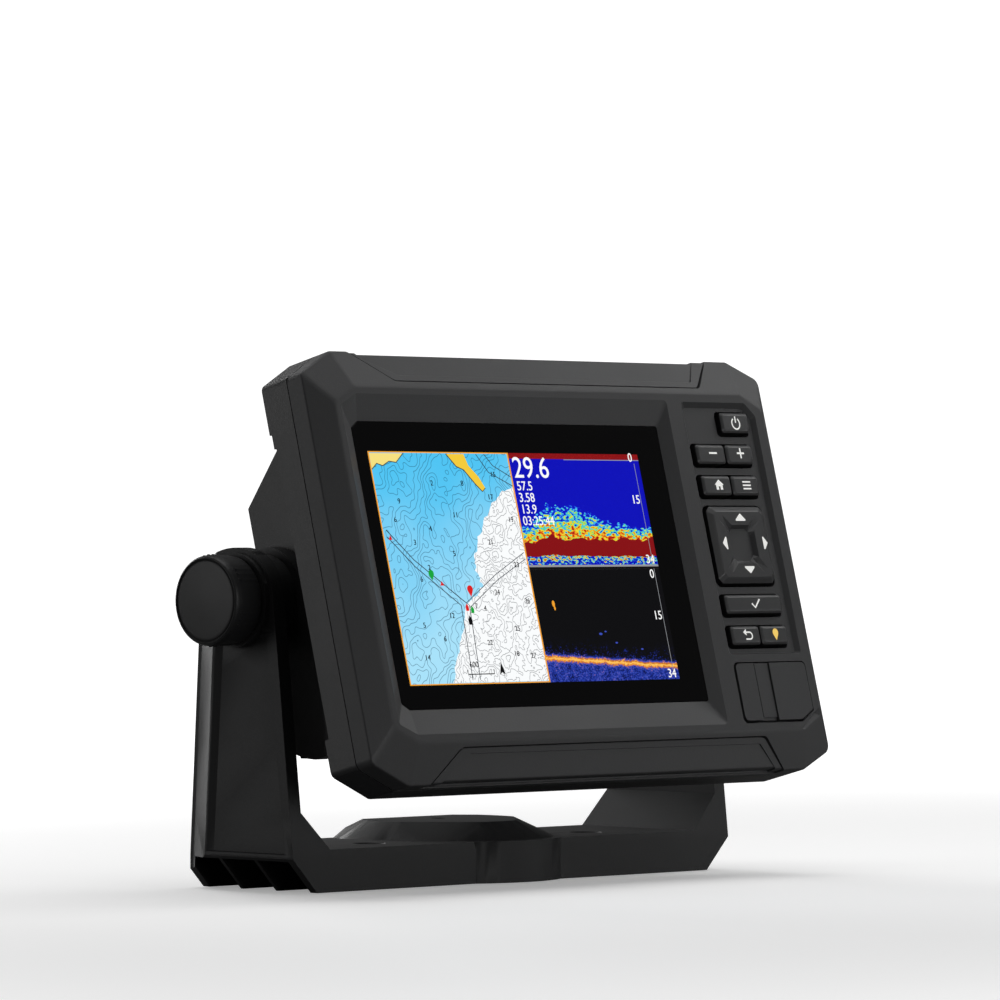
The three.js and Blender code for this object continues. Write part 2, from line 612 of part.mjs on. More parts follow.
// Hole for a socket, with a raised collar round it.
function addSocketHole(body, side) {
  const spot = [side * SOCKET_X, SOCKET_Z];
  const hole = rod("y", SOCKET_COLLAR, SOCKET_COLLAR, 30, 60, spot, 24);
  const outside = SOCKET_COLLAR + 2;
  const collar = rod("y", outside, outside - 0.6, CRADLE_BACK + 1, CRADLE_BACK + 5.6, spot, 24);
  return cut(join(body, collar), hole);
}
function cradle() {
  const x = CHEEK_OUTSIDE - 1;
  const back = box(-x, x, CRADLE_BACK, CRADLE_BACK + CRADLE_WALL, -41, STEP_Z - 0.6);
  let body = join(back, shelf(), cheek(-1), cheek(1));
  for (const side of [-1, 1]) {
    body = join(addPivotBoss(body, side), latchLug(side));
    body = addSocketHole(body, side);
  }
  const pinHole = rod("x", LATCH_BORE, LATCH_BORE, -30, 30, LATCH_PIN, 16);
  const half = LATCH_HALF + 0.3;
  return cut(body, pinHole, box(-half, half, CRADLE_BACK - 1, 60, -16, 0));
}
// A lever on the latch pin: tooth above, ribbed thumb pad below, room for the spring in the middle.
function releaseLatch() {
  const [y, z] = LATCH_PIN;
  const w = LATCH_HALF;
  const arm = w - 0.6;
  const lever = hull([-w, w].flatMap((x) => [
    [x, y - 2, z + 4], [x, y + 2, z + 4], [x, y - 2.4, z - 4], [x, y + 2.4, z - 4],
    [x, 49, -33], [x, 46.2, -33],
  ]));
  const barrel = rod("x", 3.4, 3.4, -w, w, LATCH_PIN, 20);
  const upright = box(-arm, arm, y - 2, y + 1.6, z + 2, TOOTH.high);
  const tooth = box(-arm, arm, TOOTH.front, y, TOOTH.low, TOOTH.high);
  const ribs = [0, 1, 2].map((i) => box(-8, 8, 48, 50.2, -31.5 + 3 * i, -30.3 + 3 * i));
  const pinHole = rod("x", LATCH_BORE, LATCH_BORE, -30, 30, LATCH_PIN, 16);
  const springRoom = box(-3.6, 3.6, 40, 60, z - 4.2, z + 4.2);
  return cut(join(lever, barrel, upright, tooth, ...ribs), pinHole, springRoom);
}
class Helix extends THREE.Curve {
  constructor(radius, turns, length) {
    super();
    Object.assign(this, { radius, turns, length });
  }
  getPoint(t, target = new THREE.Vector3()) {
    const angle = 2 * Math.PI * this.turns * t;
    const [y, z] = LATCH_PIN;
    const along = this.length * (t - 0.5);
    return target.set(along, y + this.radius * Math.cos(angle), z + this.radius * Math.sin(angle));
  }
}
function latchSpring() {
  const wire = 0.35;
  const section = new THREE.Shape();
  section.absarc(0, 0, wire, 0, 2 * Math.PI, false);
  const geometry = new THREE.ExtrudeGeometry(section, {
    steps: 44, curveSegments: 2, bevelEnabled: false, extrudePath: new Helix(2.7, 4, 5.4),
  });
  return solid(geometry);
}
function sleeve(radius, bore, y0, y1, spot, floor) {
  const body = rod("y", radius, radius, y0, y1, spot, 24);
  return cut(body, rod("y", bore, bore, floor, y1 + 1, spot, 20));
}
function contacts(count, spot) {
  let body = rod("y", 6.6, 6.6, 35.5, 37.2, spot, 16);
  for (let i = 0; i < count; i++) {
    const angle = (2 * Math.PI * i) / count + 0.4;
    const pin = [spot[0] + 4 * Math.cos(angle), spot[1] + 4 * Math.sin(angle)];
    body = join(body, rod("y", 0.7, 0.7, 36, 43.5, pin, 6));
  }
  return body;
}
function buildCradle() {
  place(face, "cradle", cradle(), DARK);
  place(face, "release_latch", releaseLatch(), CHARCOAL);
  place(face, "latch_pin", rod("x", 1.5, 1.5, -15.2, 15.2, LATCH_PIN, 16), STEEL);
  place(face, "latch_spring", latchSpring(), STEEL);
  const sockets = [["power", -SOCKET_X, 4], ["sonar", SOCKET_X, 8]];
  for (const [word, x, count] of sockets) {
    const spot = [x, SOCKET_Z];
    const flange = rod("y", SOCKET_COLLAR, SOCKET_COLLAR, 33.2, 35.2, spot, 24);
    const shell = join(sleeve(SOCKET_RADIUS, 7, 33.2, 46, spot, 35.2), flange);
    place(face, word + "_socket", shell, SOFT);
    place(face, word + "_contacts", contacts(count, spot), BRASS);
  }
}

// ---------------------------------------------------------------- display, boards and small parts
function buildDisplay() {
  place(face, "display_lens", plate(leftCut(LENS, -0.25), 0, 1.5), LENS_GLASS);
  const tape = cut(plate(leftCut(LENS, -0.4), 1.7, 2.1), plate(outline(WINDOW), 0, 4));
  place(face, "lens_tape", tape, SOFT);
  const halfW = SCREEN_W / 2 + 2.5;
  const halfH = SCREEN_H / 2 + 3;
  const panel = { left: SCREEN_X - halfW, right: SCREEN_X + halfW, top: halfH, bottom: -halfH };
  place(face, "display_panel", plate(outline(panel), 1.8, 4.4), SCREEN);
  place(face, "backlight_frame", plate(outline(panel, 1.8), 4.8, 8), STEEL);
}
function mainBoard() {
  const board = box(-70, 46, 11, 12.6, -34, 35);
  const processor = box(-40, -10, 12.5, 15, -10, 18);
  const memory = box(0, 24, 12.5, 14.5, 4, 24);
  const powerSupply = box(-62, -46, 12.5, 16, -28, -6);
  const connector = box(-30, 30, 12.5, 18, -32, -18);
  return join(board, processor, memory, powerSupply, connector);
}
function buildBoards() {
  place(face, "main_board", mainBoard(), BOARD);
  place(face, "gnss_antenna", box(-13, 13, 13, 17, 38.5, 51), CERAMIC);
  place(face, "beeper", rod("y", 6, 6, 12.9, 17, [38, -24], 16), SOFT);
  const mat = { left: 54.2, right: 80.9, top: 45.0, bottom: -25 };
  place(face, "keypad_mat", plate(outline(mat), 4.4, 5.2), SOFT);
  place(face, "keypad_board", plate(outline(mat, -0.4), 6, 7.2), BOARD);
  const seal = cut(plate(outline(HEAD, -3.3), 6.7, 8.0), plate(outline(HEAD, -5.6), 5, 9));
  place(face, "housing_seal", seal, SOFT);
}
function buildCard() {
  const z0 = CARD_Z - 5.5;
  const z1 = CARD_Z + 5.5;
  const shell = box(CARD_X - 3, CARD_X + 3, 5.4, 17, z0 - 1, z1 + 1);
  const slot = box(CARD_X - 0.8, CARD_X + 0.8, 4, 16.2, z0 - 0.2, z1 + 0.2);
  place(face, "card_socket", cut(shell, slot), STEEL);
  place(face, "memory_card", box(CARD_X - 0.45, CARD_X + 0.45, 0, 15, z0, z1), SOFT);
}
function housingScrew(spot) {
  const head = cut(rod("y", 2.7, 2.2, 14.5, 16.4, spot, 12), rod("y", 1.1, 1.1, 15.4, 18, spot, 6));
  return join(head, rod("y", 1.3, 1.3, 3.4, 14.8, spot, 8));
}
function buildScrews() {
  for (const [word, side] of [["left", -1], ["right", 1]]) {
    for (const [level, [x, z]] of Object.entries(SCREWS)) {
      place(face, ["housing_screw", word, level].join("_"), housingScrew([side * x, z]), STEEL);
    }
  }
}

// ---------------------------------------------------------------- keys
function keyCap(left, right, bottom, top) {
  const r = { left, right, top, bottom };
  const foot = outline(r, 0, 0.7, 0.7);
  const crown = outline(r, -KEY_BEVEL, 0.5, 0.5);
  return hull([...at(foot, KEY_FOOT), ...at(foot, KEY_TOP + 0.85), ...at(crown, KEY_TOP)]);
}
// A sloping groove from the hub of the rocker to one corner.
function cornerGroove([cx, cz], front, sx, sz) {
  const deep = front + 1.2;
  const points = [
    [3.4, deep, 3.4], [8.6, front - 0.05, 7.2], [7.0, front - 0.05, 8.6],
    [2.6, front - 0.3, 5.2], [5.2, front - 0.3, 2.6], [7.6, front - 0.6, 7.6],
  ];
  return hull(points.map(([x, y, z]) => [cx + sx * x, y, cz + sz * z]));
}
const rockerCentre = () => [
  (KEY_LEFT + KEY_RIGHT) / 2, (KEY_ROWS.dpad.top + KEY_ROWS.dpad.bottom) / 2,
];
function rocker() {
  const { top, bottom } = KEY_ROWS.dpad;
  const centre = rockerCentre();
  const [cx, cz] = centre;
  const front = KEY_TOP - DPAD_HEIGHT;
  const r = { left: KEY_LEFT, right: KEY_RIGHT, top, bottom };
  const foot = outline(r, 0, 1.4, 1.4);
  const crown = outline(r, -1.6, 1, 1);
  const block = hull([...at(foot, KEY_FOOT - 0.3), ...at(foot, front + 1.2), ...at(crown, front)]);
  const hub = { left: cx - 4.6, right: cx + 4.6, top: cz + 4.6, bottom: cz - 4.6 };
  const sink = hull([
    ...at(outline(hub, 0, 1.4, 1.4), front + 1.2), ...at(outline(hub, 0.9, 1.6, 1.6), front - 0.1),
  ]);
  const grooves = [-1, 1].flatMap((sx) => [-1, 1].map((sz) => cornerGroove(centre, front, sx, sz)));
  return cut(block, sink, ...grooves, rod("y", 3.6, 3.6, 1.2, 5, centre, 24));
}
function buildKeys() {
  const { power, zoom, home, select, back } = KEY_ROWS;
  const leftOf = (row) => keyCap(KEY_LEFT, KEY_SPLIT - 0.25, row.bottom, row.top);
  const rightOf = (row) => keyCap(KEY_SPLIT + 0.25, KEY_RIGHT, row.bottom, row.top);
  const keys = {
    key_power: keyCap(POWER_LEFT, POWER_RIGHT, power.bottom, power.top),
    key_zoom_out: leftOf(zoom),
    key_zoom_in: rightOf(zoom),
    key_home: leftOf(home),
    key_menu: rightOf(home),
    key_select: keyCap(KEY_LEFT, KEY_RIGHT, select.bottom, select.top),
    key_back: leftOf(back),
    key_mark: rightOf(back),
  };
  for (const [name, body] of Object.entries(keys)) place(face, name, body, KEYCAP);
  place(face, "arrow_rocker", rocker(), KEYCAP);
  const centre = rockerCentre();
  const post = join(rod("y", 3.0, 3.0, 2.6, 4.0, centre, 20), rod("y", 1.6, 3.0, 1.6, 2.7, centre, 20));
  place(face, "rocker_pivot", post, SOFT);
}

// ---------------------------------------------------------------- card door
function buildDoor() {
  const band = DOOR_FRONT + 0.5;
  const z0 = DOOR.bottom + GAP + 0.1;
  const z1 = DOOR.top - GAP - 0.1;
  const strip = join(
    box(DOOR.left + GAP, BAND_LEFT, DOOR_FRONT, DOOR_FLOOR - GAP, z0, z1),
    box(BAND_LEFT - 0.5, HINGE_X - 0.2, band, DOOR_BACK, z0, z1),
  );
  place(face, "card_door_strip", strip, CHARCOAL);
  const left = HINGE_X + 0.25;
  const right = DOOR.right - 0.45;
  const points = [
    [left, z0], [DOOR_CORNER_X, z0], [right, DOOR.bottom + 3.4], [right, z1], [left, z1],
  ];
  place(face, "card_door_flap", plate(points, DOOR_FRONT, DOOR_BACK), CHARCOAL);
  const seal = { left: CARD_X - 4.2, right: CARD_X + 4.2, top: CARD_Z + 7.8, bottom: CARD_Z - 7.8 };
  const gasket = cut(
    plate(outline(seal), DOOR_BACK + 0.2, DOOR_FLOOR - 0.25),
    plate(outline(seal, -1.4), -3, 3),
  );
  place(face, "card_door_seal", gasket, SOFT);
}

// ---------------------------------------------------------------- assembly
place(object, "bail_bracket", bracket(), CHARCOAL);
buildClamps();
place(face, "front_bezel", bezel(), CHARCOAL);
place(face, "top_trim", trim(TOP_TRIM), CHARCOAL);
place(face, "bottom_trim", trim(BOTTOM_TRIM), CHARCOAL);
place(face, "rear_housing", rearHousing(), DARK);
buildCradle();
buildDisplay();
buildBoards();
buildCard();
buildScrews();
buildKeys();
buildDoor();

export default object;
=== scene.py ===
"""Fish finder on a tilting bail bracket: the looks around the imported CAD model."""
import json
import math

import bmesh
import bpy
from mathutils import Matrix, Vector


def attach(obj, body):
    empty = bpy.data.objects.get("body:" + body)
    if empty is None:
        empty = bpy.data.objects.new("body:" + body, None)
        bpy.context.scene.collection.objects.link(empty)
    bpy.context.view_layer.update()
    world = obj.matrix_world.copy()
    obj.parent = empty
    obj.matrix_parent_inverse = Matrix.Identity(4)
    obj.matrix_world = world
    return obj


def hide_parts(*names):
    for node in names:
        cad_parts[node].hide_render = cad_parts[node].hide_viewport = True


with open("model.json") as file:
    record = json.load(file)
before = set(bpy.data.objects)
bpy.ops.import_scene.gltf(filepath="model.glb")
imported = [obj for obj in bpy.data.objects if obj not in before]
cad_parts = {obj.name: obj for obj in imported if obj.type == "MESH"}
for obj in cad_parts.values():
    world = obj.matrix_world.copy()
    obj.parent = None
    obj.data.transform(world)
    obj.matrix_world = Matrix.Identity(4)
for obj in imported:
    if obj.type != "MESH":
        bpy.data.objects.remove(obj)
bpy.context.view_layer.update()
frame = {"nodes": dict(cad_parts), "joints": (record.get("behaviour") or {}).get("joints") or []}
NODES = frame["nodes"]
JOINTS = {joint["name"]: joint for joint in frame["joints"]}
MM = 0.001
SCENE = bpy.context.scene

# ------------------------------------------------------------------ frames, in millimetres
# The head leans back. Its own axes are: x right, y into the face, z up along the face.
PIVOT = Vector(JOINTS["head_tilt"]["pos_m"]) / MM
INTO = Vector(JOINTS["key_power_press"]["axis"]).normalized()
UP = Vector((0, -INTO.z, INTO.y))
TURN = Matrix(((1, INTO.x, UP.x), (0, INTO.y, UP.y), (0, INTO.z, UP.z))).to_4x4()
HEAD = Matrix.Translation(PIVOT) @ TURN


def box_in(axes, node):
    """Lowest and highest corner of a CAD node, in millimetres, along the given axes."""
    back = axes.inverted()
    points = [back @ (v.co / MM) for v in NODES[node].data.vertices]
    return [Vector([pick(p[i] for p in points) for i in range(3)]) for pick in (min, max)]


LENS_BOX = box_in(HEAD, "display_lens")
PANEL_BOX = box_in(HEAD, "display_panel")
FACE = HEAD @ Matrix.Translation((0, LENS_BOX[0].y, (PANEL_BOX[0].z + PANEL_BOX[1].z) / 2))
WORLD = Matrix.Identity(4)


def face_box(node):
    return box_in(FACE, node)


# ------------------------------------------------------------------ driving dimensions, millimetres
BEZEL = face_box("front_bezel")
HALF = BEZEL[1].x
TOP = BEZEL[1].z
BOTTOM = BEZEL[0].z
RIDGE_Y = BEZEL[0].y
EDGE_Y = 1.5
PART_Y = 7.0
RIM_Y = 17.0
HEAD_OUTLINE = dict(
    left=-HALF, right=HALF + 0.3, bottom=BOTTOM + 1.1, top=TOP + 0.75,
    cut=(12.5, 6.5), right_cut=(12.5, 5.2),
)
CORE_OUTLINE = dict(left=-HALF, right=HALF, bottom=BOTTOM, top=TOP, cut=(12.5, 6.5))
RIDGE_OUTLINE = dict(left=-86, right=88, bottom=-48.5, top=50, cut=(8.4, 4.4))
LENS = dict(left=-79.2, right=43.9, bottom=-39.1, top=40.8, cut=(2.8, 1.8))
OPENING = dict(left=-84, right=47.3, bottom=-46.3, top=47.8, cut=(6.5, 3.1))
SCREEN_X = (PANEL_BOX[0].x + PANEL_BOX[1].x) / 2
SCREEN_W = 108.0
SCREEN_H = 64.8
PAD = dict(right=83.9, bottom=-26.4, top=46.9)
PAD_FLOOR = -1.3
KEY_WELL = 0.55
DOOR = dict(left=54.2, right=85.1, bottom=-46.3, top=-28.6)
DOOR_FLOOR = 1.0
TRIM_TOP = [(-60.6, 51.6, 3.0), (63.4, 51.6, 2.6), (74.0, TOP + 3, 0), (-77.5, TOP + 3, 0)]
TRIM_BOTTOM = [(-77.4, BOTTOM - 3, 0), (76.0, BOTTOM - 3, 0), (63.2, -49.9, 2.6), (-61, -49.9, 4.0)]


# ------------------------------------------------------------------ mesh kit
def new_object(name, mesh):
    obj = bpy.data.objects.new(name, mesh)
    SCENE.collection.objects.link(obj)
    return obj


def from_faces(name, points, faces):
    mesh = bpy.data.meshes.new(name)
    mesh.from_pydata([tuple(p) for p in points], [], faces)
    work = bmesh.new()
    work.from_mesh(mesh)
    bmesh.ops.recalc_face_normals(work, faces=work.faces)
    work.to_mesh(mesh)
    work.free()
    return new_object(name, mesh)


def loft(name, rings):
    """A closed solid through rings of equally many points."""
    count = len(rings[0])
    points = [p for ring in rings for p in ring]
    faces = [tuple(range(count)), tuple(range(len(points) - count, len(points)))]
    for level in range(len(rings) - 1):
        low = level * count
        for i in range(count):
            j = (i + 1) % count
            faces.append((low + i, low + j, low + count + j, low + count + i))
    return from_faces(name, points, faces)


def rounded(corners, radius, steps=4):
    """A polygon in a plane with each corner turned into an arc of steps + 1 points."""
    points = []
    total = len(corners)
    for i, corner in enumerate(corners):
        here = Vector(corner[:2])
        before = Vector(corners[i - 1][:2]) - here
        after = Vector(corners[(i + 1) % total][:2]) - here
        size = corner[2] if len(corner) > 2 else radius
        if size <= 0 or steps == 0:
            points += [tuple(here)] * (steps + 1)
            continue
        half = before.angle(after) / 2
        reach = min(size / math.tan(half), before.length * 0.49, after.length * 0.49)
        size = reach * math.tan(half)
        first, last = before.normalized(), after.normalized()
        centre = here + (first + last).normalized() * size / math.sin(half)
        start = here + first * reach - centre
        end = here + last * reach - centre
        turn = start.angle_signed(end)
        for k in range(steps + 1):
            arm = start.copy()
            arm.rotate(Matrix.Rotation(-turn * k / steps, 2))
            points.append(tuple(centre + arm))
    return points


def flat(points, y):
    """Outline points (x, z) at depth y."""
    return [(x, y, z) for x, z in points]


def prism(name, outline, y0, y1):
    return loft(name, [flat(outline, y0), flat(outline, y1)])


def rectangle(left, right, bottom, top):
    return [(left, bottom), (right, bottom), (right, top), (left, top)]


def sides(r, grow):
    return r["left"] - grow, r["right"] + grow, r["bottom"] - grow, r["top"] + grow


def octagon(r, grow=0.0, radius=0.0, steps=4):
    """A rectangle cut at its four corners."""
    cx, cz = r["cut"]
    rx, rz = r.get("right_cut", r["cut"])
    left, right, bottom, top = sides(r, grow)
    corners = [
        (left + cx, bottom), (right - rx, bottom), (right, bottom + rz), (right, top - rz),
        (right - rx, top), (left + cx, top), (left, top - cz), (left, bottom + cz),
    ]
    return rounded(corners, radius, steps)


def left_cut(r, grow=0.0, radius=0.0, steps=3):
    """A rectangle cut at its left corners only."""
    cx, cz = r["cut"]
    left, right, bottom, top = sides(r, grow)
    corners = [
        (left + cx, bottom), (right, bottom), (right, top),
        (left + cx, top), (left, top - cz), (left, bottom + cz),
    ]
    return rounded(corners, radius, steps)


def block(name, low, high):
    outline = rectangle(low[0], high[0], low[2], high[2])
    return prism(name, outline, low[1], high[1])


def arc(centre, radius, start, end, steps):
    """Points from start to end, in radians."""
    turn = (end - start) / steps
    points = []
    for i in range(steps + 1):
        angle = start + turn * i
        points.append((centre[0] + radius * math.cos(angle), centre[1] + radius * math.sin(angle)))
    return points


def circle(radius, centre=(0, 0), count=48):
    return arc(centre, radius, 0, 2 * math.pi, count)[:-1]


ALONG = {
    "x": lambda d, a, b: (d, a, b),
    "y": lambda d, a, b: (a, d, b),
    "z": lambda d, a, b: (a, b, d),
}


def turned(name, axis, profile, centre=(0, 0), count=48):
    """A solid turned about an axis from (distance along it, radius) points."""
    put = ALONG[axis]
    rings = []
    for along, radius in profile:
        rings.append([put(along, a, b) for a, b in circle(radius, centre, count)])
    return loft(name, rings)


def hull(name, points):
    work = bmesh.new()
    for p in points:
        work.verts.new(p)
    result = bmesh.ops.convex_hull(work, input=work.verts)
    inside = [g for g in result["geom_interior"] if isinstance(g, bmesh.types.BMVert)]
    bmesh.ops.delete(work, geom=inside, context="VERTS")
    bmesh.ops.dissolve_limit(work, angle_limit=0.002, verts=work.verts, edges=work.edges)
    bmesh.ops.recalc_face_normals(work, faces=work.faces)
    mesh = bpy.data.meshes.new(name)
    work.to_mesh(mesh)
    work.free()
    return new_object(name, mesh)


def apply_modifiers(obj):
    graph = bpy.context.evaluated_depsgraph_get()
    mesh = bpy.data.meshes.new_from_object(obj.evaluated_get(graph), depsgraph=graph)
    obj.modifiers.clear()
    old = obj.data
    obj.data = mesh
    bpy.data.meshes.remove(old)
    return obj


def combine(obj, others, operation):
    for other in others:
        modifier = obj.modifiers.new("boolean", "BOOLEAN")
        modifier.operation = operation
        modifier.solver = "EXACT"
        modifier.object = other
    apply_modifiers(obj)
    for other in others:
        bpy.data.objects.remove(other)
    return obj


def cut(obj, *others):
    return combine(obj, others, "DIFFERENCE")


def join(obj, *others):
    return combine(obj, others, "UNION")


def meet(obj, *others):
    return combine(obj, others, "INTERSECT")


def soften(obj, width, segments=2, angle=20.0):
    """Rounds every edge sharper than angle, and keeps the flats flat."""
    work = bmesh.new()
    work.from_mesh(obj.data)
    bmesh.ops.remove_doubles(work, verts=work.verts, dist=0.004)
    bmesh.ops.dissolve_limit(
        work, angle_limit=math.radians(0.3), verts=work.verts, edges=work.edges,
    )
    work.to_mesh(obj.data)
    work.free()
    modifier = obj.modifiers.new("bevel", "BEVEL")
    modifier.width = width
    modifier.segments = segments
    modifier.limit_method = "ANGLE"
    modifier.angle_limit = math.radians(angle)
    modifier.use_clamp_overlap = True
    modifier.miter_outer = "MITER_ARC"
    apply_modifiers(obj)
    return obj


def divide(obj, axis, places):
    """Splits faces along planes across an axis, so that no flat face winds round itself."""
    work = bmesh.new()
    work.from_mesh(obj.data)
    normal = Vector([float(i == axis) for i in range(3)])
    for place in places:
        everything = work.verts[:] + work.edges[:] + work.faces[:]
        bmesh.ops.bisect_plane(
            work, geom=everything, dist=1e-5, plane_co=normal * place, plane_no=normal,
        )
    work.to_mesh(obj.data)
    work.free()
    return obj


def smooth(obj, angle=35.0):
    mesh = obj.data
    mesh.polygons.foreach_set("use_smooth", [True] * len(mesh.polygons))
    mesh.set_sharp_from_angle(angle=math.radians(angle))
    modifier = obj.modifiers.new("normals", "WEIGHTED_NORMAL")
    modifier.keep_sharp = True
    modifier.weight = 80
    return apply_modifiers(obj)


def piece(obj, name, body, material, replaces=(), axes=FACE):
    """Places a finished mesh in the frame, gives it its looks and lets it ride on its body."""
    smooth(obj)
    obj.name = name
    obj.data.name = name
    obj.data.transform(Matrix.Scale(MM, 4) @ axes)
    obj.data.materials.clear()
    obj.data.materials.append(material)
    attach(obj, body)
    if replaces:
        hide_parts(*replaces)
    return obj


# ------------------------------------------------------------------ shader kit
def feed(tree, slot, item):
    """Links a Value into an input, or sets the input. A colour is a tuple of three."""
    if isinstance(item, Value):
        tree.links.new(item.socket, slot)
    else:
        slot.default_value = (*item, 1) if slot.type == "RGBA" else item


def vector_math(tree, operation, source, name=1, item=None):
    """A vector node fed from a socket, with its input called name set to item."""
    node = tree.nodes.new("ShaderNodeVectorMath")
    node.operation = operation
    tree.links.new(source, node.inputs[0])
    if item is not None:
        node.inputs[name].default_value = item
    return node


class Value:
    """A number or colour in a shader. Arithmetic on it adds Math nodes."""

    def __init__(self, tree, socket):
        self.tree = tree
        self.socket = socket

    def math(self, operation, *others, clamp=False):
        node = self.tree.nodes.new("ShaderNodeMath")
        node.operation = operation
        node.use_clamp = clamp
        for slot, item in zip(node.inputs, (self, *others)):
            feed(self.tree, slot, item)
        return Value(self.tree, node.outputs[0])

    def __add__(self, other):
        return self.math("ADD", other)

    def __sub__(self, other):
        return self.math("SUBTRACT", other)

    def __rsub__(self, other):
        return (self * -1) + other

    def __mul__(self, other):
        return self.math("MULTIPLY", other)

    __radd__ = __add__
    __rmul__ = __mul__

    def __truediv__(self, other):
        return self.math("DIVIDE", other)

    def above(self, other):
        return self.math("GREATER_THAN", other)

    def below(self, other):
        return self.math("LESS_THAN", other)

    def step(self, low, high):
        """0 at low, 1 at high, smooth between."""
        node = self.tree.nodes.new("ShaderNodeMapRange")
        node.interpolation_type = "SMOOTHSTEP"
        for name, item in (("Value", self), ("From Min", low), ("From Max", high)):
            feed(self.tree, node.inputs[name], item)
        return Value(self.tree, node.outputs[0])


MIX_INPUTS = (0, 6, 7)  # factor and the two colours of a Mix node
MIX_RESULT = 2


class Shader:
    """A material with one Principled surface, built from node calls."""

    def __init__(self, name, colour=(0.5, 0.5, 0.5), roughness=0.5, **inputs):
        self.material = bpy.data.materials.new(name)
        self.material.use_nodes = True
        self.material.diffuse_color = (*colour, 1)
        self.tree = self.material.node_tree
        self.surface = next(n for n in self.tree.nodes if n.type == "BSDF_PRINCIPLED")
        self.set("Base Color", colour)
        self.set("Roughness", roughness)
        for key, item in inputs.items():
            self.set(key.replace("_", " "), item)

    def set(self, name, item):
        feed(self.tree, self.surface.inputs[name], item)

    def place(self):
        """Position in millimetres, as a vector socket."""
        coordinates = self.tree.nodes.new("ShaderNodeTexCoord")
        source = coordinates.outputs["Object"]
        return vector_math(self.tree, "SCALE", source, "Scale", 1 / MM).outputs[0]

    def noise(self, place, size, detail=2.0, roughness=0.5, stretch=None):
        """Noise from 0 to 1 with features about size millimetres across."""
        node = self.tree.nodes.new("ShaderNodeTexNoise")
        node.inputs["Scale"].default_value = 1 / size
        node.inputs["Detail"].default_value = detail
        node.inputs["Roughness"].default_value = roughness
        if stretch:
            place = vector_math(self.tree, "MULTIPLY", place, 1, stretch).outputs[0]
        self.tree.links.new(place, node.inputs["Vector"])
        return Value(self.tree, node.outputs["Fac"])

    def mix(self, amount, first, second):
        """Colour between first and second; each is a tuple or a Value."""
        node = self.tree.nodes.new("ShaderNodeMix")
        node.data_type = "RGBA"
        for slot, item in zip(MIX_INPUTS, (amount, first, second)):
            feed(self.tree, node.inputs[slot], item)
        return Value(self.tree, node.outputs[MIX_RESULT])

    def bump(self, height, depth):
        """height 1 stands depth millimetres proud."""
        node = self.tree.nodes.new("ShaderNodeBump")
        node.inputs["Distance"].default_value = depth * MM
        self.tree.links.new(height.socket, node.inputs["Height"])
        self.set("Normal", Value(self.tree, node.outputs[0]))


def shade(colour, amount):
    return tuple(c * amount for c in colour)


def grained_plastic(name, colour, roughness=0.55, grain=0.32, depth=0.035, specular=0.5):
    """Moulded plastic with a fine spark-eroded grain."""
    shader = Shader(name, colour, roughness, Specular_IOR_Level=specular)
    place = shader.place()
    fine = shader.noise(place, grain, detail=1.5)
    pits = shader.noise(place, grain * 2.3, detail=1.0)
    broad = shader.noise(place, 24, detail=2.0)
    tone = shader.mix(broad, shade(colour, 0.86), shade(colour, 1.16))
    speck = shader.mix(fine.step(0.52, 0.78) * 0.45, tone, shade(colour, 1.7))
    shader.set("Base Color", speck)
    shader.set("Roughness", (fine - 0.5) * 0.22 + (broad - 0.5) * 0.08 + roughness)
    shader.bump(fine * 0.65 + pits * 0.35, depth)
    return shader.material


def satin_plastic(name, colour, roughness=0.4, specular=0.5, side=None):
    """Smooth plastic; where side is given, the faces turned away from the front take that darker colour
    as painted shade.
    """
    shader = Shader(name, colour, roughness, Specular_IOR_Level=specular)
    place = shader.place()
    fine = shader.noise(place, 0.22, detail=1.0)
    tone = shader.mix(shader.noise(place, 9, detail=2.0), shade(colour, 0.9), shade(colour, 1.1))
    # Painted shade: the sides are darkened by the way they face, standing in for the shade inside the
    # key wells.
    if side:
        normal = shader.tree.nodes.new("ShaderNodeTexCoord").outputs["Normal"]
        facing = vector_math(shader.tree, "DOT_PRODUCT", normal, 1, -INTO)
        tone = shader.mix(Value(shader.tree, facing.outputs["Value"]).step(0.2, 0.5), side, tone)
    shader.set("Base Color", tone)
    shader.set("Roughness", (fine - 0.5) * 0.16 + roughness)
    shader.bump(fine, 0.012)
    return shader.material


def soft_rubber(name, colour):
    shader = Shader(name, colour, 0.8, Specular_IOR_Level=0.3)
    place = shader.place()
    dust = shader.noise(place, 0.6, detail=3.0)
    shader.set("Base Color", shader.mix(dust, shade(colour, 0.8), shade(colour, 1.3)))
    shader.set("Roughness", (dust - 0.5) * 0.2 + 0.8)
    shader.bump(dust, 0.02)
    return shader.material


def machined_metal(name, colour, roughness=0.32, stretch=(1, 14, 14)):
    shader = Shader(name, colour, roughness, Metallic=1.0)
    place = shader.place()
    lines = shader.noise(place, 0.5, detail=3.0, stretch=stretch)
    shader.set("Base Color", shader.mix(lines, shade(colour, 0.88), colour))
    shader.set("Roughness", (lines - 0.5) * 0.25 + roughness)
    shader.bump(lines, 0.006)
    return shader.material


def circuit_board(name):
    shader = Shader(name, (0.01, 0.09, 0.035), 0.4)
    place = shader.place()
    tracks = shader.noise(place, 1.1, detail=0.0, stretch=(1, 1, 0.25))
    pads = shader.noise(place, 0.8, detail=1.0)
    copper = shader.mix(tracks.step(0.55, 0.57), (0.008, 0.075, 0.03), (0.02, 0.14, 0.05))
    shader.set("Base Color", shader.mix(pads.above(0.72), copper, (0.55, 0.5, 0.38)))
    shader.bump(tracks, 0.03)
    return shader.material


def ceramic(name):
    shader = Shader(name, (0.66, 0.6, 0.48), 0.55)
    grains = shader.noise(shader.place(), 0.4, detail=2.0)
    shader.set("Base Color", shader.mix(grains, (0.58, 0.52, 0.41), (0.72, 0.66, 0.54)))
    shader.bump(grains, 0.01)
    return shader.material


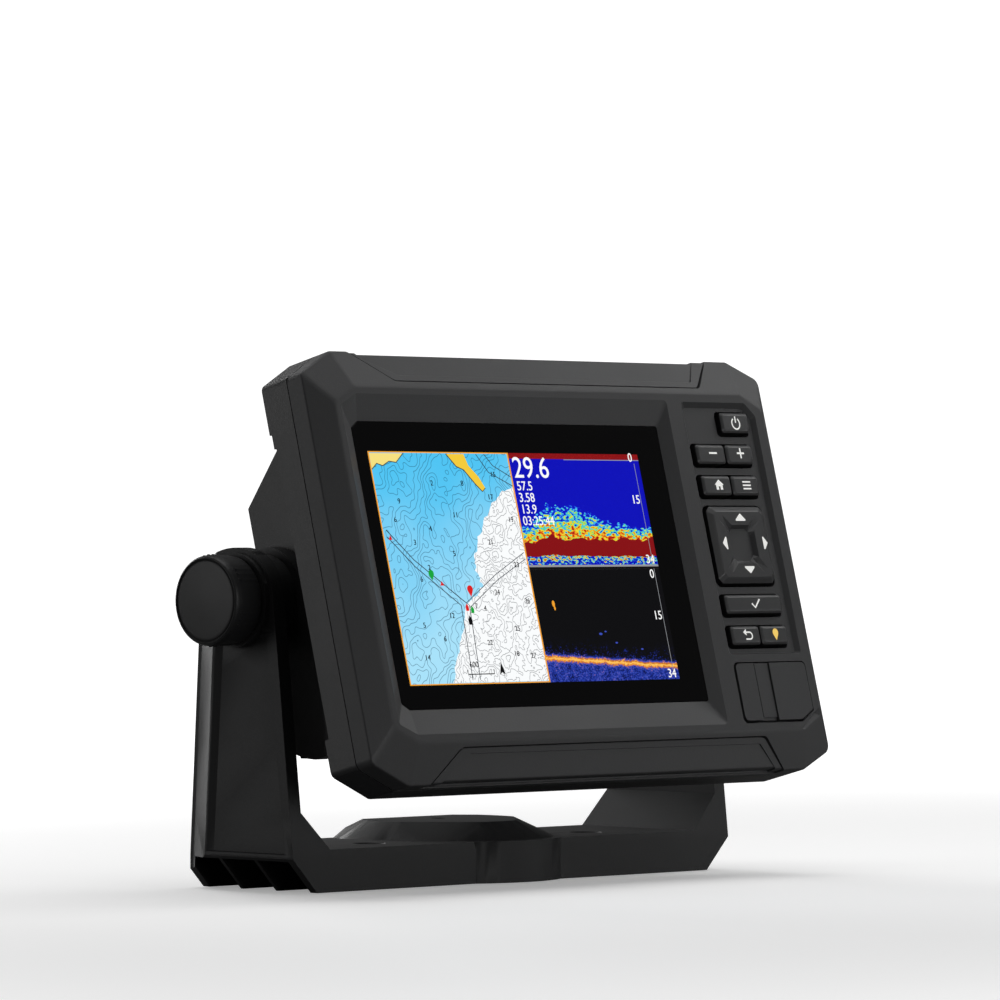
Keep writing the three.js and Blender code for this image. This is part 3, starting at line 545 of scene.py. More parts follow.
def ink(name, colour, light=0.0):
    """Printed legend: slightly uneven ink; where light is given, the ink also glows, a painted
    brightness.
    """
    shader = Shader(name, colour, 0.5)
    uneven = shader.noise(shader.place(), 0.35, detail=1.0)
    tone = shader.mix(uneven, shade(colour, 0.86), colour)
    shader.set("Base Color", tone)
    # Painted glow: the printed ink is made to emit light of its own.
    if light:
        shader.set("Emission Color", tone)
        shader.set("Emission Strength", light)
    return shader.material


CHARCOAL = (0.0285, 0.029, 0.0305)
BODY = grained_plastic("charcoal_plastic", CHARCOAL)
BRACKET = grained_plastic(
    "bracket_plastic", (0.0205, 0.0208, 0.0215), 0.58, grain=0.36, specular=0.34,
)
DARK = grained_plastic("black_plastic", (0.018, 0.0182, 0.019), roughness=0.5)
KNOB = satin_plastic("knob_plastic", (0.0165, 0.0167, 0.0175), 0.46, 0.3)
# The keys' dark side colour is painted shade, standing in for the shaded key wells.
KEYS = satin_plastic("key_plastic_painted_side_shade", (0.034, 0.0345, 0.036), 0.42, 0.5, side=(0.009, 0.009, 0.0095))
RUBBER = soft_rubber("black_rubber", (0.012, 0.012, 0.013))
STEEL = machined_metal("stainless_steel", (0.58, 0.58, 0.57))
BRASS = machined_metal("brass", (0.66, 0.47, 0.2), 0.28)
BOARD = circuit_board("circuit_board")
CERAMIC = ceramic("ceramic")
# Legends: printed ink with a painted glow.
WHITE_INK_PAINTED_GLOW = ink("white_legend_painted_glow", (0.62, 0.62, 0.6), 0.85)
AMBER_INK_PAINTED_GLOW = ink("amber_legend_painted_glow", (0.72, 0.47, 0.1), 0.8)


# ------------------------------------------------------------------ more shapes
def rod(axis, radius, start, end, centre, tip=None, count=40):
    return turned("rod", axis, [(start, radius), (end, tip or radius)], centre, count)


def slab(outline, x0, x1):
    """An outline in (y, z) made solid from x0 to x1."""
    return loft("slab", [[(x, y, z) for y, z in outline] for x in (x0, x1)])


def side_block(side, low, high):
    """A block given for the right side, or its mirror image on the left."""
    x0, x1 = sorted((side * low[0], side * high[0]))
    return block("block", (x0, low[1], low[2]), (x1, high[1], high[2]))


def side_rod(side, radius, a, b, centre, tip=None, count=48):
    start, end = sorted((side * a, side * b))
    first, last = (radius, tip or radius) if side > 0 else (tip or radius, radius)
    return rod("x", first, start, end, centre, last, count)


def outline_box(left, right, bottom, top, radius=0.0, steps=4):
    return rounded(rectangle(left, right, bottom, top), radius, steps)


def fold(before, corner, after, reach, steps=4):
    """Rings that turn softly from before to after, past corner."""
    rings = [[] for _ in range(steps + 1)]
    for p, q, r in zip(before, corner, after):
        q = Vector(q)
        start = q + (Vector(p) - q).normalized() * reach
        end = q + (Vector(r) - q).normalized() * reach
        for k, ring in enumerate(rings):
            t = k / steps
            ring.append(tuple(start * (1 - t) ** 2 + q * 2 * t * (1 - t) + end * t * t))
    return rings


def head_block(name, inset=0.0, rear=PART_Y, steps=4):
    """The outside of the bezel, with every face moved in by inset."""
    wall = flat(octagon(HEAD_OUTLINE, -inset, 2.6, steps), rear)
    edge = flat(octagon(HEAD_OUTLINE, -inset, 2.6, steps), EDGE_Y)
    ridge = flat(octagon(RIDGE_OUTLINE, -inset * 0.55, 2.4, steps), RIDGE_Y + inset)
    front = flat(octagon(RIDGE_OUTLINE, -inset * 0.55 - 2.4, 2.4, steps), RIDGE_Y + inset)
    return loft(name, [wall] + fold(wall, edge, ridge, 0.6, 5) + fold(edge, ridge, front, 0.95, 4))


# ------------------------------------------------------------------ bezel
def pad_recess():
    right = PAD["right"]
    top = PAD["top"]
    bottom = PAD["bottom"]
    rings = []
    for y, left, low, far, high, corner in (
        (PAD_FLOOR, 55.0, bottom + 0.5, right - 0.7, top - 0.9, 3.0),
        (RIDGE_Y, 53.5, bottom, right + 0.5, top + 0.5, 3.8),
        (RIDGE_Y - 0.6, 52.75, bottom - 0.25, right + 1.1, top + 1.2, 4.2),
    ):
        corners = [
            (left, low), (far, low), (far, high - corner), (far - corner, high), (left, high),
        ]
        rings.append(flat(rounded(corners, 1.0), y))
    return loft("pad", rings)


def key_cutters():
    rows = [
        ("key_power", "key_power", 1.1), ("key_zoom_out", "key_zoom_in", 1.1),
        ("key_home", "key_menu", 1.1), ("arrow_rocker", "arrow_rocker", 1.9),
        ("key_select", "key_select", 1.1), ("key_back", "key_mark", 1.1),
    ]
    made = []
    for first, last, radius in rows:
        low = face_box(first)[0]
        high = face_box(last)[1]
        ring = outline_box(
            low.x - KEY_WELL - 0.5, high.x + KEY_WELL,
            low.z - KEY_WELL - 0.4, high.z + KEY_WELL, radius + 0.3,
        )
        made.append(prism("well", ring, -5, 5))
    return made


def door_recess():
    r = DOOR
    corners = [
        (r["left"], r["bottom"], 1.7), (79.6, r["bottom"]), (r["right"], r["bottom"] + 3.2),
        (r["right"], r["top"], 1.5), (r["left"], r["top"], 1.7),
    ]
    return prism("door_recess", rounded(corners, 0.4), -6, DOOR_FLOOR)


def finger_scoop():
    """A slope beside the cut corner of the door, for a fingernail."""
    floor_y = RIDGE_Y + 1.15
    points = flat([(79.3, -46.1), (84.9, -42.9), (84.5, -41.8), (78.6, -45.0)], floor_y)
    for y, grow in ((RIDGE_Y, 0.0), (RIDGE_Y - 0.8, 1.9)):
        points += [
            (78.9, y, -48.6 - grow), (80.2 + grow * 0.5, y, -48.6 - grow),
            (87.4 + grow, y, -44.9 - grow * 0.5), (87.8 + grow, y, -42.6),
        ]
    return hull("scoop", points)


def lens_cutters():
    splay = loft("splay", [
        flat(left_cut(LENS, 0.0, 0.8), 0.0), flat(left_cut(OPENING, 0.0, 1.2), RIDGE_Y),
        flat(left_cut(OPENING, 0.7, 1.2), RIDGE_Y - 0.8),
    ])
    seat = prism("seat", left_cut(LENS, 0.0, 0.8), -0.02, 2.3)
    window = prism("window", outline_box(-78.2, 37.2, -36.3, 36.3), -1, 8)
    return [splay, seat, window]


def trim_pocket(points):
    room = prism("room", rounded(points, 0), -10, 5.2)
    return cut(room, head_block("inside", 1.7, 20.0))


def hollow_cutters():
    return [
        prism("hollow", octagon(CORE_OUTLINE, -6.5), 4.5, 8),
        prism("lip", octagon(CORE_OUTLINE, -2.4), 6.4, 8),
        prism("keypad_room", outline_box(49, 82, -56, 50), 2.3, 5),
    ]


def screw_spots():
    return [(side * x, z) for side in (-1, 1) for x, z in ((78, 48), (83.5, -2), (78, -48.5))]


def build_bezel():
    body = head_block("bezel")
    cut(body, *lens_cutters(), pad_recess(), door_recess(), finger_scoop())
    cut(body, *hollow_cutters(), block("card_slot", (73.4, -1, -43.6), (78.6, 5, -30.4)))
    cut(body, trim_pocket(TRIM_TOP), trim_pocket(TRIM_BOTTOM), *key_cutters())
    for spot in screw_spots():
        join(body, rod("y", 2.6, 1.5, 9.2, spot, count=20))
        cut(body, rod("y", 1.7, 2.4, 12, spot, count=20))
    soften(body, 0.32, 3, 17)
    piece(body, "bezel_shell", "head", BODY, ["front_bezel"])


def shifted(points, amount):
    """Trim outline moved in by amount on the three sides that show."""
    moved = []
    for x, z, radius in points:
        free = abs(z) > abs(BOTTOM)
        if not free:
            z += math.copysign(amount, z)
        moved.append((x + math.copysign(amount, -4 - x), z, radius))
    return rounded(moved, 0)


def build_trims():
    for name, outline, inner in (
        ("top_trim", TRIM_TOP, [
            (-57.9, 53.7), (61.4, 53.7), (67.8, TOP + 3), (-73, TOP + 3), (-69.8, 58.7),
        ]),
        ("bottom_trim", TRIM_BOTTOM, [
            (-71.5, BOTTOM - 3), (69, BOTTOM - 3), (68.2, -58.6),
            (61.2, -51.9), (-57.4, -51.6), (-68.2, -59.2),
        ]),
    ):
        slab_body = meet(head_block("trim", 0.4), prism("limit", shifted(outline, 0.4), -10, 4.9))
        field = cut(prism("field", rounded(inner, 0.9), -10, 4.5), head_block("floor", 0.85))
        cut(slab_body, field)
        cut(slab_body, head_block("inside", 1.5, 20.0))
        soften(slab_body, 0.16, 2, 25)
        piece(slab_body, name + "_cover", "head", BODY, [name])


# ------------------------------------------------------------------ lens and keys
def build_lens():
    ring = loft("lens", [
        flat(left_cut(LENS, -0.12, 0.7), 1.5), flat(left_cut(LENS, -0.12, 0.7), 0.03),
        flat(left_cut(LENS, -0.15, 0.7), 0.0),
    ])
    half_w = SCREEN_W / 2
    half_h = SCREEN_H / 2
    cut(ring, block("lit", (SCREEN_X - half_w, -1, -half_h), (SCREEN_X + half_w, 0.6, half_h)))
    piece(ring, "lens_plate", "head", GLASS, ["display_lens"])


def keycap(name):
    low, high = face_box(name)
    front = low.y
    rings = []
    for y, inset, radius in (
        (high.y, 0, 0.9), (front + 0.8, 0, 0.9), (front + 0.5, 0.05, 0.9),
        (front + 0.16, 0.42, 0.8), (front + 0.04, 0.68, 0.7), (front, 0.95, 0.6),
    ):
        ring = outline_box(low.x + inset, high.x - inset, low.z + inset, high.z - inset, radius)
        rings.append(flat(ring, y))
    cap = loft(name, rings)
    piece(cap, name + "_cap", name, KEYS, [name])


def build_rocker():
    low, high = face_box("arrow_rocker")
    cx = (low.x + high.x) / 2
    cz = (low.z + high.z) / 2
    front = low.y
    rings = []
    pad = dict(left=low.x, right=high.x, bottom=low.z, top=high.z)
    for y, inset, corner in (
        (high.y, 0, 1.4), (front + 1.25, 0, 1.4), (front + 0.25, 1.25, 1.1), (front, 1.75, 1.0),
    ):
        rings.append(flat(octagon(dict(pad, cut=(corner, corner)), -inset, 0.6), y))
    body = loft("rocker", rings)
    hub = dict(left=cx - 4.7, right=cx + 4.7, bottom=cz - 4.7, top=cz + 4.7, cut=(1.8, 1.8))
    cutters = [loft("hub", [
        flat(octagon(hub, 0, 0.5), front + 1.2), flat(octagon(hub, 1.0, 0.5), front - 0.1),
    ])]
    groove = [
        (3.4, 1.2, 3.4), (8.6, -0.05, 7.2), (7.0, -0.05, 8.6),
        (2.6, -0.3, 5.2), (5.2, -0.3, 2.6), (7.6, -0.6, 7.6),
    ]
    for sx in (-1, 1):
        for sz in (-1, 1):
            corner = [(cx + sx * x, front + y, cz + sz * z) for x, y, z in groove]
            cutters.append(hull("groove", corner))
    cutters.append(rod("y", 3.6, 1.2, 6, (cx, cz), count=40))
    cut(body, *cutters)
    soften(body, 0.22, 2, 18)
    piece(body, "arrow_pad", "rocker", KEYS, ["arrow_rocker"])
    return cx, cz, front


INK_HEIGHT = 0.06


def raised(name, outlines, front, body, material=WHITE_INK_PAINTED_GLOW):
    """Thin printed shapes standing proud of depth front."""
    parts = [prism(name, outline, front + 0.02, front - INK_HEIGHT) for outline in outlines]
    gather(parts)
    piece(parts[0], name, body, material)


def gather(parts):
    """Puts every mesh of parts into the first."""
    work = bmesh.new()
    for part in parts:
        work.from_mesh(part.data)
    work.to_mesh(parts[0].data)
    work.free()
    for part in parts[1:]:
        bpy.data.objects.remove(part)
    return parts[0]


def stroke(points, width):
    """Outline of a line of the given width through points, with square ends."""
    left = []
    right = []
    total = len(points)
    for i, (x, z) in enumerate(points):
        before = Vector(points[max(i - 1, 0)])
        after = Vector(points[min(i + 1, total - 1)])
        along = (after - before).normalized()
        side = Vector((-along.y, along.x)) * width / 2
        left.append((x + side.x, z + side.y))
        right.append((x - side.x, z - side.y))
    return left + right[::-1]


def build_legends(rocker):
    cap = face_box("key_home")[0].y
    cx, cz, top = rocker
    triangles = [
        [(66.1, 12.4), (71.1, 12.4), (68.7, 14.6)], [(66.1, -0.9), (68.7, -3.0), (71.1, -0.9)],
        [(61.0, 3.6), (61.0, 8.2), (59.1, 5.9)], [(76.5, 3.6), (78.4, 5.9), (76.5, 8.2)],
    ]
    raised("arrows", [rounded(t, 0.25) for t in triangles], top, "rocker")
    x, z = 75.0, 41.3
    power = arc((x, z - 0.1), 1.65, math.radians(125), math.radians(415), 24)
    raised("power_mark", [
        stroke(power, 0.42), outline_box(x - 0.21, x + 0.21, z + 0.1, z + 2.05),
    ], cap, "key_power")
    raised("minus_mark", [outline_box(61.0, 64.3, 32.1, 32.62)], cap, "key_zoom_out")
    plus = [
        (-1.5, -0.26), (-0.26, -0.26), (-0.26, -1.5), (0.26, -1.5), (0.26, -0.26), (1.5, -0.26),
        (1.5, 0.26), (0.26, 0.26), (0.26, 1.5), (-0.26, 1.5), (-0.26, 0.26), (-1.5, 0.26),
    ]
    raised("plus_mark", [[(74.5 + a, 32.4 + b) for a, b in plus]], cap, "key_zoom_in")
    x, z = 62.7, 22.95
    house = [
        (-1.9, 0.1), (-1.35, 0.1), (-1.35, -1.35), (-0.4, -1.35), (-0.4, -0.35), (0.4, -0.35),
        (0.4, -1.35), (1.35, -1.35), (1.35, 0.1), (1.9, 0.1), (0, 1.6),
    ]
    raised("house_mark", [[(x + a, z + b) for a, b in house]], cap, "key_home")
    x = 74.6
    bars = [outline_box(x - 1.7, x + 1.7, z + d - 0.22, z + d + 0.22) for d in (-1.0, 0, 1.0)]
    raised("menu_mark", bars, cap, "key_menu")
    x, z = 68.6, -11.8
    tick = stroke([(x - 1.7, z + 0.1), (x - 0.5, z - 1.1), (x + 1.8, z + 1.3)], 0.5)
    raised("tick_mark", [tick], cap, "key_select")
    x, z = 62.7, -20.9
    hook = [(x - 0.9, z + 0.85), (x + 0.7, z + 0.85)]
    hook += arc((x + 0.7, z - 0.15), 1.0, math.radians(80), math.radians(-90), 10)
    hook += [(x - 1.1, z - 1.15)]
    head = [(x - 2.0, z + 0.85), (x - 0.7, z - 0.1), (x - 0.7, z + 1.8)]
    raised("return_mark", [stroke(hook, 0.42), head], cap, "key_back")
    x, z = 74.6, -20.6
    pin = arc((x, z + 0.35), 1.15, math.radians(-25), math.radians(205), 14) + [(x, z - 1.9)]
    raised("pin_mark", [pin], cap, "key_mark", AMBER_INK_PAINTED_GLOW)


# ------------------------------------------------------------------ card door
BAND_LEFT = 62.3
DOOR_LINE = (63.0, 63.35)


def build_door():
    low, high = face_box("card_door_strip")
    front = low.y
    left = low.x + 0.4
    foot = low.z + 0.35
    corners = [(left, foot, 1.5), (62.6, foot), (62.6, high.z), (left, high.z, 1.5)]
    strip = prism("strip", rounded(corners, 0.05), high.y, front)
    soften(strip, 0.25, 3, 20)
    parts = []
    right = high.x + 0.15
    back = high.y - 1.3
    for bottom, top, y in ((foot + 0.9, high.z, front + 0.42), (foot, foot + 1.2, front + 0.9)):
        parts.append(prism("band", outline_box(BAND_LEFT, right, bottom, top), y, back))
    join(strip, *parts)
    line = outline_box(*DOOR_LINE, foot - 1, high.z + 1)
    cut(strip, prism("line", line, front + 0.95, front - 1))
    piece(strip, "door_strip", "head", BODY, ["card_door_strip"])
    low, high = face_box("card_door_flap")
    foot = low.z + 0.3
    corners = [
        (low.x - 0.1, foot, 0.3), (79.2, foot), (high.x, DOOR["bottom"] + 3.55),
        (high.x, high.z, 1.4), (low.x - 0.1, high.z, 0.3),
    ]
    flap = prism("flap", rounded(corners, 0.8), low.y, high.y)
    soften(flap, 0.28, 3, 20)
    piece(flap, "door_flap", "card_door", BODY, ["card_door_flap"])


# ------------------------------------------------------------------ housing and cradle
BULGE_HALF = 72.7
STEP_Z = -8.0
SOCKET_X = 26.0
SOCKET_Z = -24.5
LATCH_PIN = (47.2, -17.5)


def bulge(inset, steps=5):
    """The raised middle of the back, with every face moved in by inset."""
    w = BULGE_HALF - inset
    back = 50 - inset
    step = STEP_Z + inset
    top = 57.5 - inset
    upper = [(10, step), (back, step), (back, 29.3 - inset), (17 - inset, top), (10, top)]
    body = slab(upper, -w, w)
    return join(body, block("lower", (-w, 10, -40 + inset), (w, 38 - inset, step + inset + 1)))


def build_housing():
    body = prism("housing", octagon(HEAD_OUTLINE, 0, 2.0), PART_Y + 0.3, RIM_Y)
    join(body, bulge(0))
    cut(body, prism("tray", octagon(CORE_OUTLINE, -6.5), 0, RIM_Y - 2.6))
    cut(body, prism("lip", octagon(CORE_OUTLINE, -2.4), 0, 8.3), bulge(2.4))
    for side in (-1, 1):
        cut(body, side_block(side, (HALF - 6, RIM_Y - 1.6, -43), (HALF + 1, RIM_Y + 3, 37)))
        cut(body, side_block(side, (HALF - 6, RIM_Y - 0.8, 36.5), (HALF + 1, RIM_Y + 3, 41)))
        cut(body, rod("y", 9.3, 30, 45, (side * SOCKET_X, SOCKET_Z), count=48))
    room = block("room", (-12.5, 40.4, STEP_Z - 1), (12.5, 60, -2.6))
    cut(body, room)
    join(body, block("roof", (-14.5, 38.2, -2.6), (14.5, 49.5, -1.2)))
    join(body, block("front", (-14.5, 38.2, STEP_Z), (14.5, 40.4, -1.2)))
    for side in (-1, 1):
        join(body, side_block(side, (12.5, 38.2, -7.5), (14.5, 49.5, -1.2)))
    cut(body, block("tooth_room", (-12.1, 39.2, -6.7), (12.1, 41, -3.2)))
    for spot in screw_spots():
        join(body, rod("y", 3.6, 9.6, 15, spot, count=28))
        cut(body, rod("y", 1.8, 5, 20, spot, count=24), rod("y", 3.1, 14.2, 20, spot, count=28))
    join(body, block("bump", (70.6, 15, -45.4), (81.4, 19.2, -28.6)))
    cut(body, block("card_room", (72.7, 9, -43.8), (79.3, 17.3, -30.2)))
    soften(body, 0.35, 2, 20)
    piece(body, "housing_shell", "head", DARK, ["rear_housing"])


CRADLE_PIVOT = (44.94, 2.42)


def cheek_outline():
    points = [(19.5, -36), (24, -44), (37, -44)]
    for k in range(1, 9):
        t = k / 8
        points.append((
            (1 - t) ** 2 * 37 + 2 * t * (1 - t) * 48 + t * t * 50,
            (1 - t) ** 2 * -44 + 2 * t * (1 - t) * -41 + t * t * -32,
        ))
    points += [(50, STEP_Z), (59.1, -0.6)]
    points += arc(CRADLE_PIVOT, 14.5, -0.2, math.pi, 26)
    points += [(28.9, -11.6), (19.5, -14)]
    return points


def pin_hole():
    return rod("x", 1.8, -30, 30, LATCH_PIN, count=28)


def build_cradle():
    body = block("cradle", (-76.6, 38.8, -41), (76.6, 42.2, STEP_Z - 0.6))
    shelf = hull("shelf", [
        (x, y, z) for x in (-77.1, 77.1)
        for y, z in ((21, -40.6), (24, -43.8), (37, -43.8), (42.7, -42.4), (42.7, -40.6))
    ])
    join(body, shelf, slab(cheek_outline(), -77.6, -73.2), slab(cheek_outline(), 73.2, 77.6))
    for side in (-1, 1):
        join(body, side_rod(side, 12.4, 74.2, 82.7, CRADLE_PIVOT, count=72))
        for radius, start, end in ((6.3, 75.3, 82.5), (4.4, 74.6, 90)):
            cut(body, side_rod(side, radius, start, end, CRADLE_PIVOT))
        x0, x1 = sorted((side * 12.6, side * 15.4))
        join(body, hull("lug", [
            (x, y, z) for x in (x0, x1)
            for y, z in ((40.8, -10.5), (40.8, -25), (50, -15), (50, -20))
        ]))
        spot = (side * SOCKET_X, SOCKET_Z)
        join(body, rod("y", 13.2, 39.8, 44.4, spot, 12.6, 64))
        cut(body, rod("y", 11.2, 30, 60, spot, count=64))
    cut(body, pin_hole(), block("gap", (-12.3, 37.8, -16), (12.3, 60, 0)))
    soften(body, 0.5, 2, 22)
    piece(body, "cradle_frame", "head", DARK, ["cradle"])


def build_latch():
    y, z = LATCH_PIN
    lever = hull("lever", [
        (x, b, c) for x in (-12, 12)
        for b, c in (
            (y - 2, z + 4), (y + 2, z + 4), (y - 2.4, z - 4), (y + 2.4, z - 4), (49, -33), (46.2, -33),
        )
    ])
    join(lever, rod("x", 3.4, -12, 12, LATCH_PIN, count=40))
    join(lever, block("upright", (-11.4, y - 2, z + 2), (11.4, y + 1.6, -4.1)))
    join(lever, block("tooth", (-11.4, 39.5, -6.3), (11.4, y, -4.1)))
    for i in range(3):
        join(lever, block("rib", (-8, 48, -31.5 + 3 * i), (8, 50.2, -30.3 + 3 * i)))
    cut(lever, pin_hole(), block("room", (-3.6, 40, z - 4.2), (3.6, 60, z + 4.2)))
    soften(lever, 0.3, 2, 22)
    piece(lever, "latch_lever", "latch", BODY, ["release_latch"])


def build_sockets():
    for word, side in (("power", -1), ("sonar", 1)):
        spot = (side * SOCKET_X, SOCKET_Z)
        shell = rod("y", 9.0, 33.2, 46, spot, count=64)
        join(shell, rod("y", 11.2, 33.2, 35.2, spot, count=64))
        cut(shell, rod("y", 7.0, 35.2, 50, spot, count=56))
        for i in range(3):
            angle = 2 * math.pi * i / 3 + 0.3
            x, z = spot[0] + 7 * math.cos(angle), spot[1] + 7 * math.sin(angle)
            cut(shell, rod("y", 0.8, 40, 50, (x, z), count=16))
        soften(shell, 0.25, 2, 30)
        piece(shell, word + "_socket_shell", "head", RUBBER, [word + "_socket"])


# ------------------------------------------------------------------ bracket
def build_bracket():
    pivot = (0.0, PIVOT.z)
    half_depth = 22.1
    edge = 14.3
    rear_edge = 18.4
    profile = [(-half_depth, 0), (half_depth, 0), (half_depth, 9.4)]
    for y, z in arc((0, 0), 1, 0, math.pi / 2, 20)[:-1] + arc((0, 0), 1, math.pi / 2, math.pi, 20):
        profile.append((y * (rear_edge if y > 0 else edge), PIVOT.z + z * edge))
    profile.append((-half_depth, 9.4))
    top = PIVOT.z + 16
    right = [(79.2, 0), (88.5, 9.4), (88.5, top), (84.2, top), (84.2, 21.8), (74.1, 11.6)]
    front = right + [(-x, z) for x, z in right[::-1]]
    body = meet(prism("front", front, -half_depth, half_depth), slab(profile, -92, 92))
    edges = [-19.5, -7.4, -6.2, 6.2, 7.4, 19.5]
    for side in (-1, 1):
        for i in (0, 2, 4):
            cut(body, side_block(side, (36.5, edges[i], -1), (90, edges[i + 1], 8.6)))
    middle = (0, 8.9)
    skirt = rod("z", 35.5, 0, 11.6, middle, count=128)
    join(body, meet(skirt, block("limit", (-60, -60, -1), (60, 21.1, 13))))
    bowl = rod("z", 32.9, -1, 8.6, middle, count=96)
    cut(body, meet(bowl, block("limit", (-60, -60, -2), (60, 19.5, 9.6))))
    cone = rod("z", 34, 10.6, 16.5, middle, 24.3, 128)
    flats = [(z, reach * math.sqrt(2)) for z, reach in ((10.5, 35), (16.5, 21.5))]
    pyramid = turned("pyramid", "z", flats, middle, 4)
    limit = block("limit", (-60, -60, 0), (60, 21.1, 17.5))
    join(body, meet(meet(cone, pyramid), limit))
    for low, high in (((-1.2, -25, 0), (1.2, 21.1, 9.6)), ((-33.9, 7.7, 0), (33.9, 10.1, 9.6))):
        join(body, block("rib", low, high))
    join(body, rod("z", 7, 0, 10.9, middle, count=40))
    cut(body, rod("z", 2.2, -1, 17.5, middle, count=36))
    for side in (-1, 1):
        spot = (side * 44, -7)
        join(body, rod("z", 6.2, 0, 10.9, spot, count=40))
        cut(body, rod("z", 2.4, -1, 12.6, spot, count=36), rod("z", 2.4, 9.4, 12.6, spot, 5.6, 48))
        rings = []
        for inner, x in ((0, 89.5), (1, 87.4)):
            rings.append([
                (side * x, y + (1.4 if y < 0 else -3.6) * inner, z + 0.5 * inner)
                for y, z in ((-19.6, 10.2), (13.2, 10.2), (9.6, 68.8), (-12.5, 68.8))
            ])
        cut(body, loft("panel", rings))
        rings = []
        for z, rear in ((-2.6, 22.7), (94.8, 17.6)):
            rings.append([
                (side * x, rear + back, z)
                for x, back in ((88.7, -10.4), (84.3, -1.3), (84.0, 6), (94.5, 6), (94.5, -10.4))
            ])
        cut(body, loft("bevel", rings))
        join(body, side_rod(side, 12.9, 86.5, 90, pivot, count=96))
        cut(body, side_rod(side, 4.3, 82, 92, pivot, count=48))
    soften(body, 0.45, 3, 20)
    divide(body, 0, (-60.3, -44, -20.1, 0, 20.1, 44, 60.3))
    divide(body, 2, (20.3, 40.2, 60.1, PIVOT.z - 8.3, PIVOT.z + 1.7))
    piece(body, "bracket_body", "bracket", BRACKET, ["bail_bracket"], WORLD)


# ------------------------------------------------------------------ knobs
GRIP_RADIUS = 12.3
# (distance from the back or from the face, radius, height of the ribs)
KNOB_BACK = [
    (0, 0.01, 0), (0, 11.4, 0), (0.2, 11.75, 0), (0.6, 12.0, 0), (1.2, 12.08, 0), (1.4, 12.1, 0.14),
]
KNOB_FACE = [
    (3.5, 12.28, 0.14), (3.3, 12.28, 0.3), (2.75, 12.3, 0.3), (2.55, 12.3, 0), (1.7, 12.25, 0),
    (1.15, 12.12, 0), (0.8, 11.92, 0), (0.6, 11.66, 0), (0.56, 11.42, 0), (0.66, 11.22, 0),
    (0.86, 11.1, 0), (0.92, 10.98, 0), (0.82, 10.82, 0), (0.62, 10.6, 0), (0.5, 10.1, 0),
    (0.36, 8.6, 0), (0.2, 6.2, 0), (0.07, 3.6, 0), (0, 1.4, 0), (0, 0.01, 0),
]


def knob_ring(radius, rib):
    """Points round the knob; rib is how far the grip ribs stand out."""
    points = []
    pitch = 1.72 / GRIP_RADIUS
    half = 0.3 / GRIP_RADIUS
    for group in range(6):
        centre = math.radians(60 * group + 24)
        for k in (-1, 0, 1):
            angle = centre + k * pitch
            for step, share in ((-1.35, 0), (-0.8, 0.85), (0, 1), (0.8, 0.85), (1.35, 0)):
                points.append((angle + step * half, radius + rib * share))
        start = centre + pitch + 2 * half
        end = centre + math.radians(60) - pitch - 2 * half
        for k in range(1, 10):
            points.append((start + (end - start) * k / 10, radius))
    return [(r * math.cos(a), r * math.sin(a)) for a, r in points]


def build_knobs():
    axes = Matrix.Translation(PIVOT)
    for word, side in (("left", -1), ("right", 1)):
        low, high = box_in(axes, "knob_" + word)
        face = max(abs(low.x), abs(high.x)) + 0.9
        back = min(abs(low.x), abs(high.x))
        profile = [(back + depth, radius, rib) for depth, radius, rib in KNOB_BACK]
        profile += [(face - depth, radius, rib) for depth, radius, rib in KNOB_FACE]
        rings = []
        for x, radius, rib in profile:
            if radius > 1:
                ring = knob_ring(radius, rib)
            else:
                ring = [(p * radius, q * radius) for p, q in knob_ring(1, 0)]
            rings.append([(side * x, a, b) for a, b in ring])
        body = loft("knob", rings)
        cut(body, *(side_rod(side, r, 80, end, (0, 0)) for r, end in ((9.2, back + 1.1), (4.2, 97.5))))
        knob = "knob_" + word
        piece(body, "knob_grip_" + word, knob, KNOB, [knob], axes)


# ------------------------------------------------------------------ the lit picture
def tint(red, green, blue):
    """Screen colour, given from 0 to 255, as linear light."""
    made = []
    for level in (red, green, blue):
        c = level / 255
        made.append(c / 12.92 if c <= 0.04045 else ((c + 0.055) / 1.055) ** 2.4)
    return tuple(made)


UNLIT = (0.002, 0.002, 0.002)


def black_glass():
    shader = Shader("black_glass", (0.0012, 0.0012, 0.0014), 0.07, Specular_IOR_Level=0.36)
    film = shader.noise(shader.place(), 14, detail=2.0)
    shader.set("Roughness", film * 0.05 + 0.045)
    return shader.material


def lit_colour(name, colour, light=1.0):
    """A plain lit colour behind glass."""
    shader = Shader(name, UNLIT, 0.1)
    cells = shader.noise(shader.place(), 0.12, detail=0.0)
    tone = shader.mix(cells, shade(colour, 0.93), colour)
    shader.set("Emission Color", tone)
    shader.set("Emission Strength", light)
    return shader.material


def ramp(shader, amount, stops):
    """Colour from rows of (position, red, green, blue)."""
    node = shader.tree.nodes.new("ShaderNodeValToRGB")
    node.color_ramp.interpolation = "LINEAR"
    entries = node.color_ramp.elements
    while len(entries) > 1:
        entries.remove(entries[-1])
    entries[0].position = stops[0][0]
    entries[0].color = (*tint(*stops[0][1:]), 1)
    for position, *colour in stops[1:]:
        entries.new(position).color = (*tint(*colour), 1)
    shader.tree.links.new(amount.socket, node.inputs["Fac"])
    return Value(shader.tree, node.outputs["Color"])


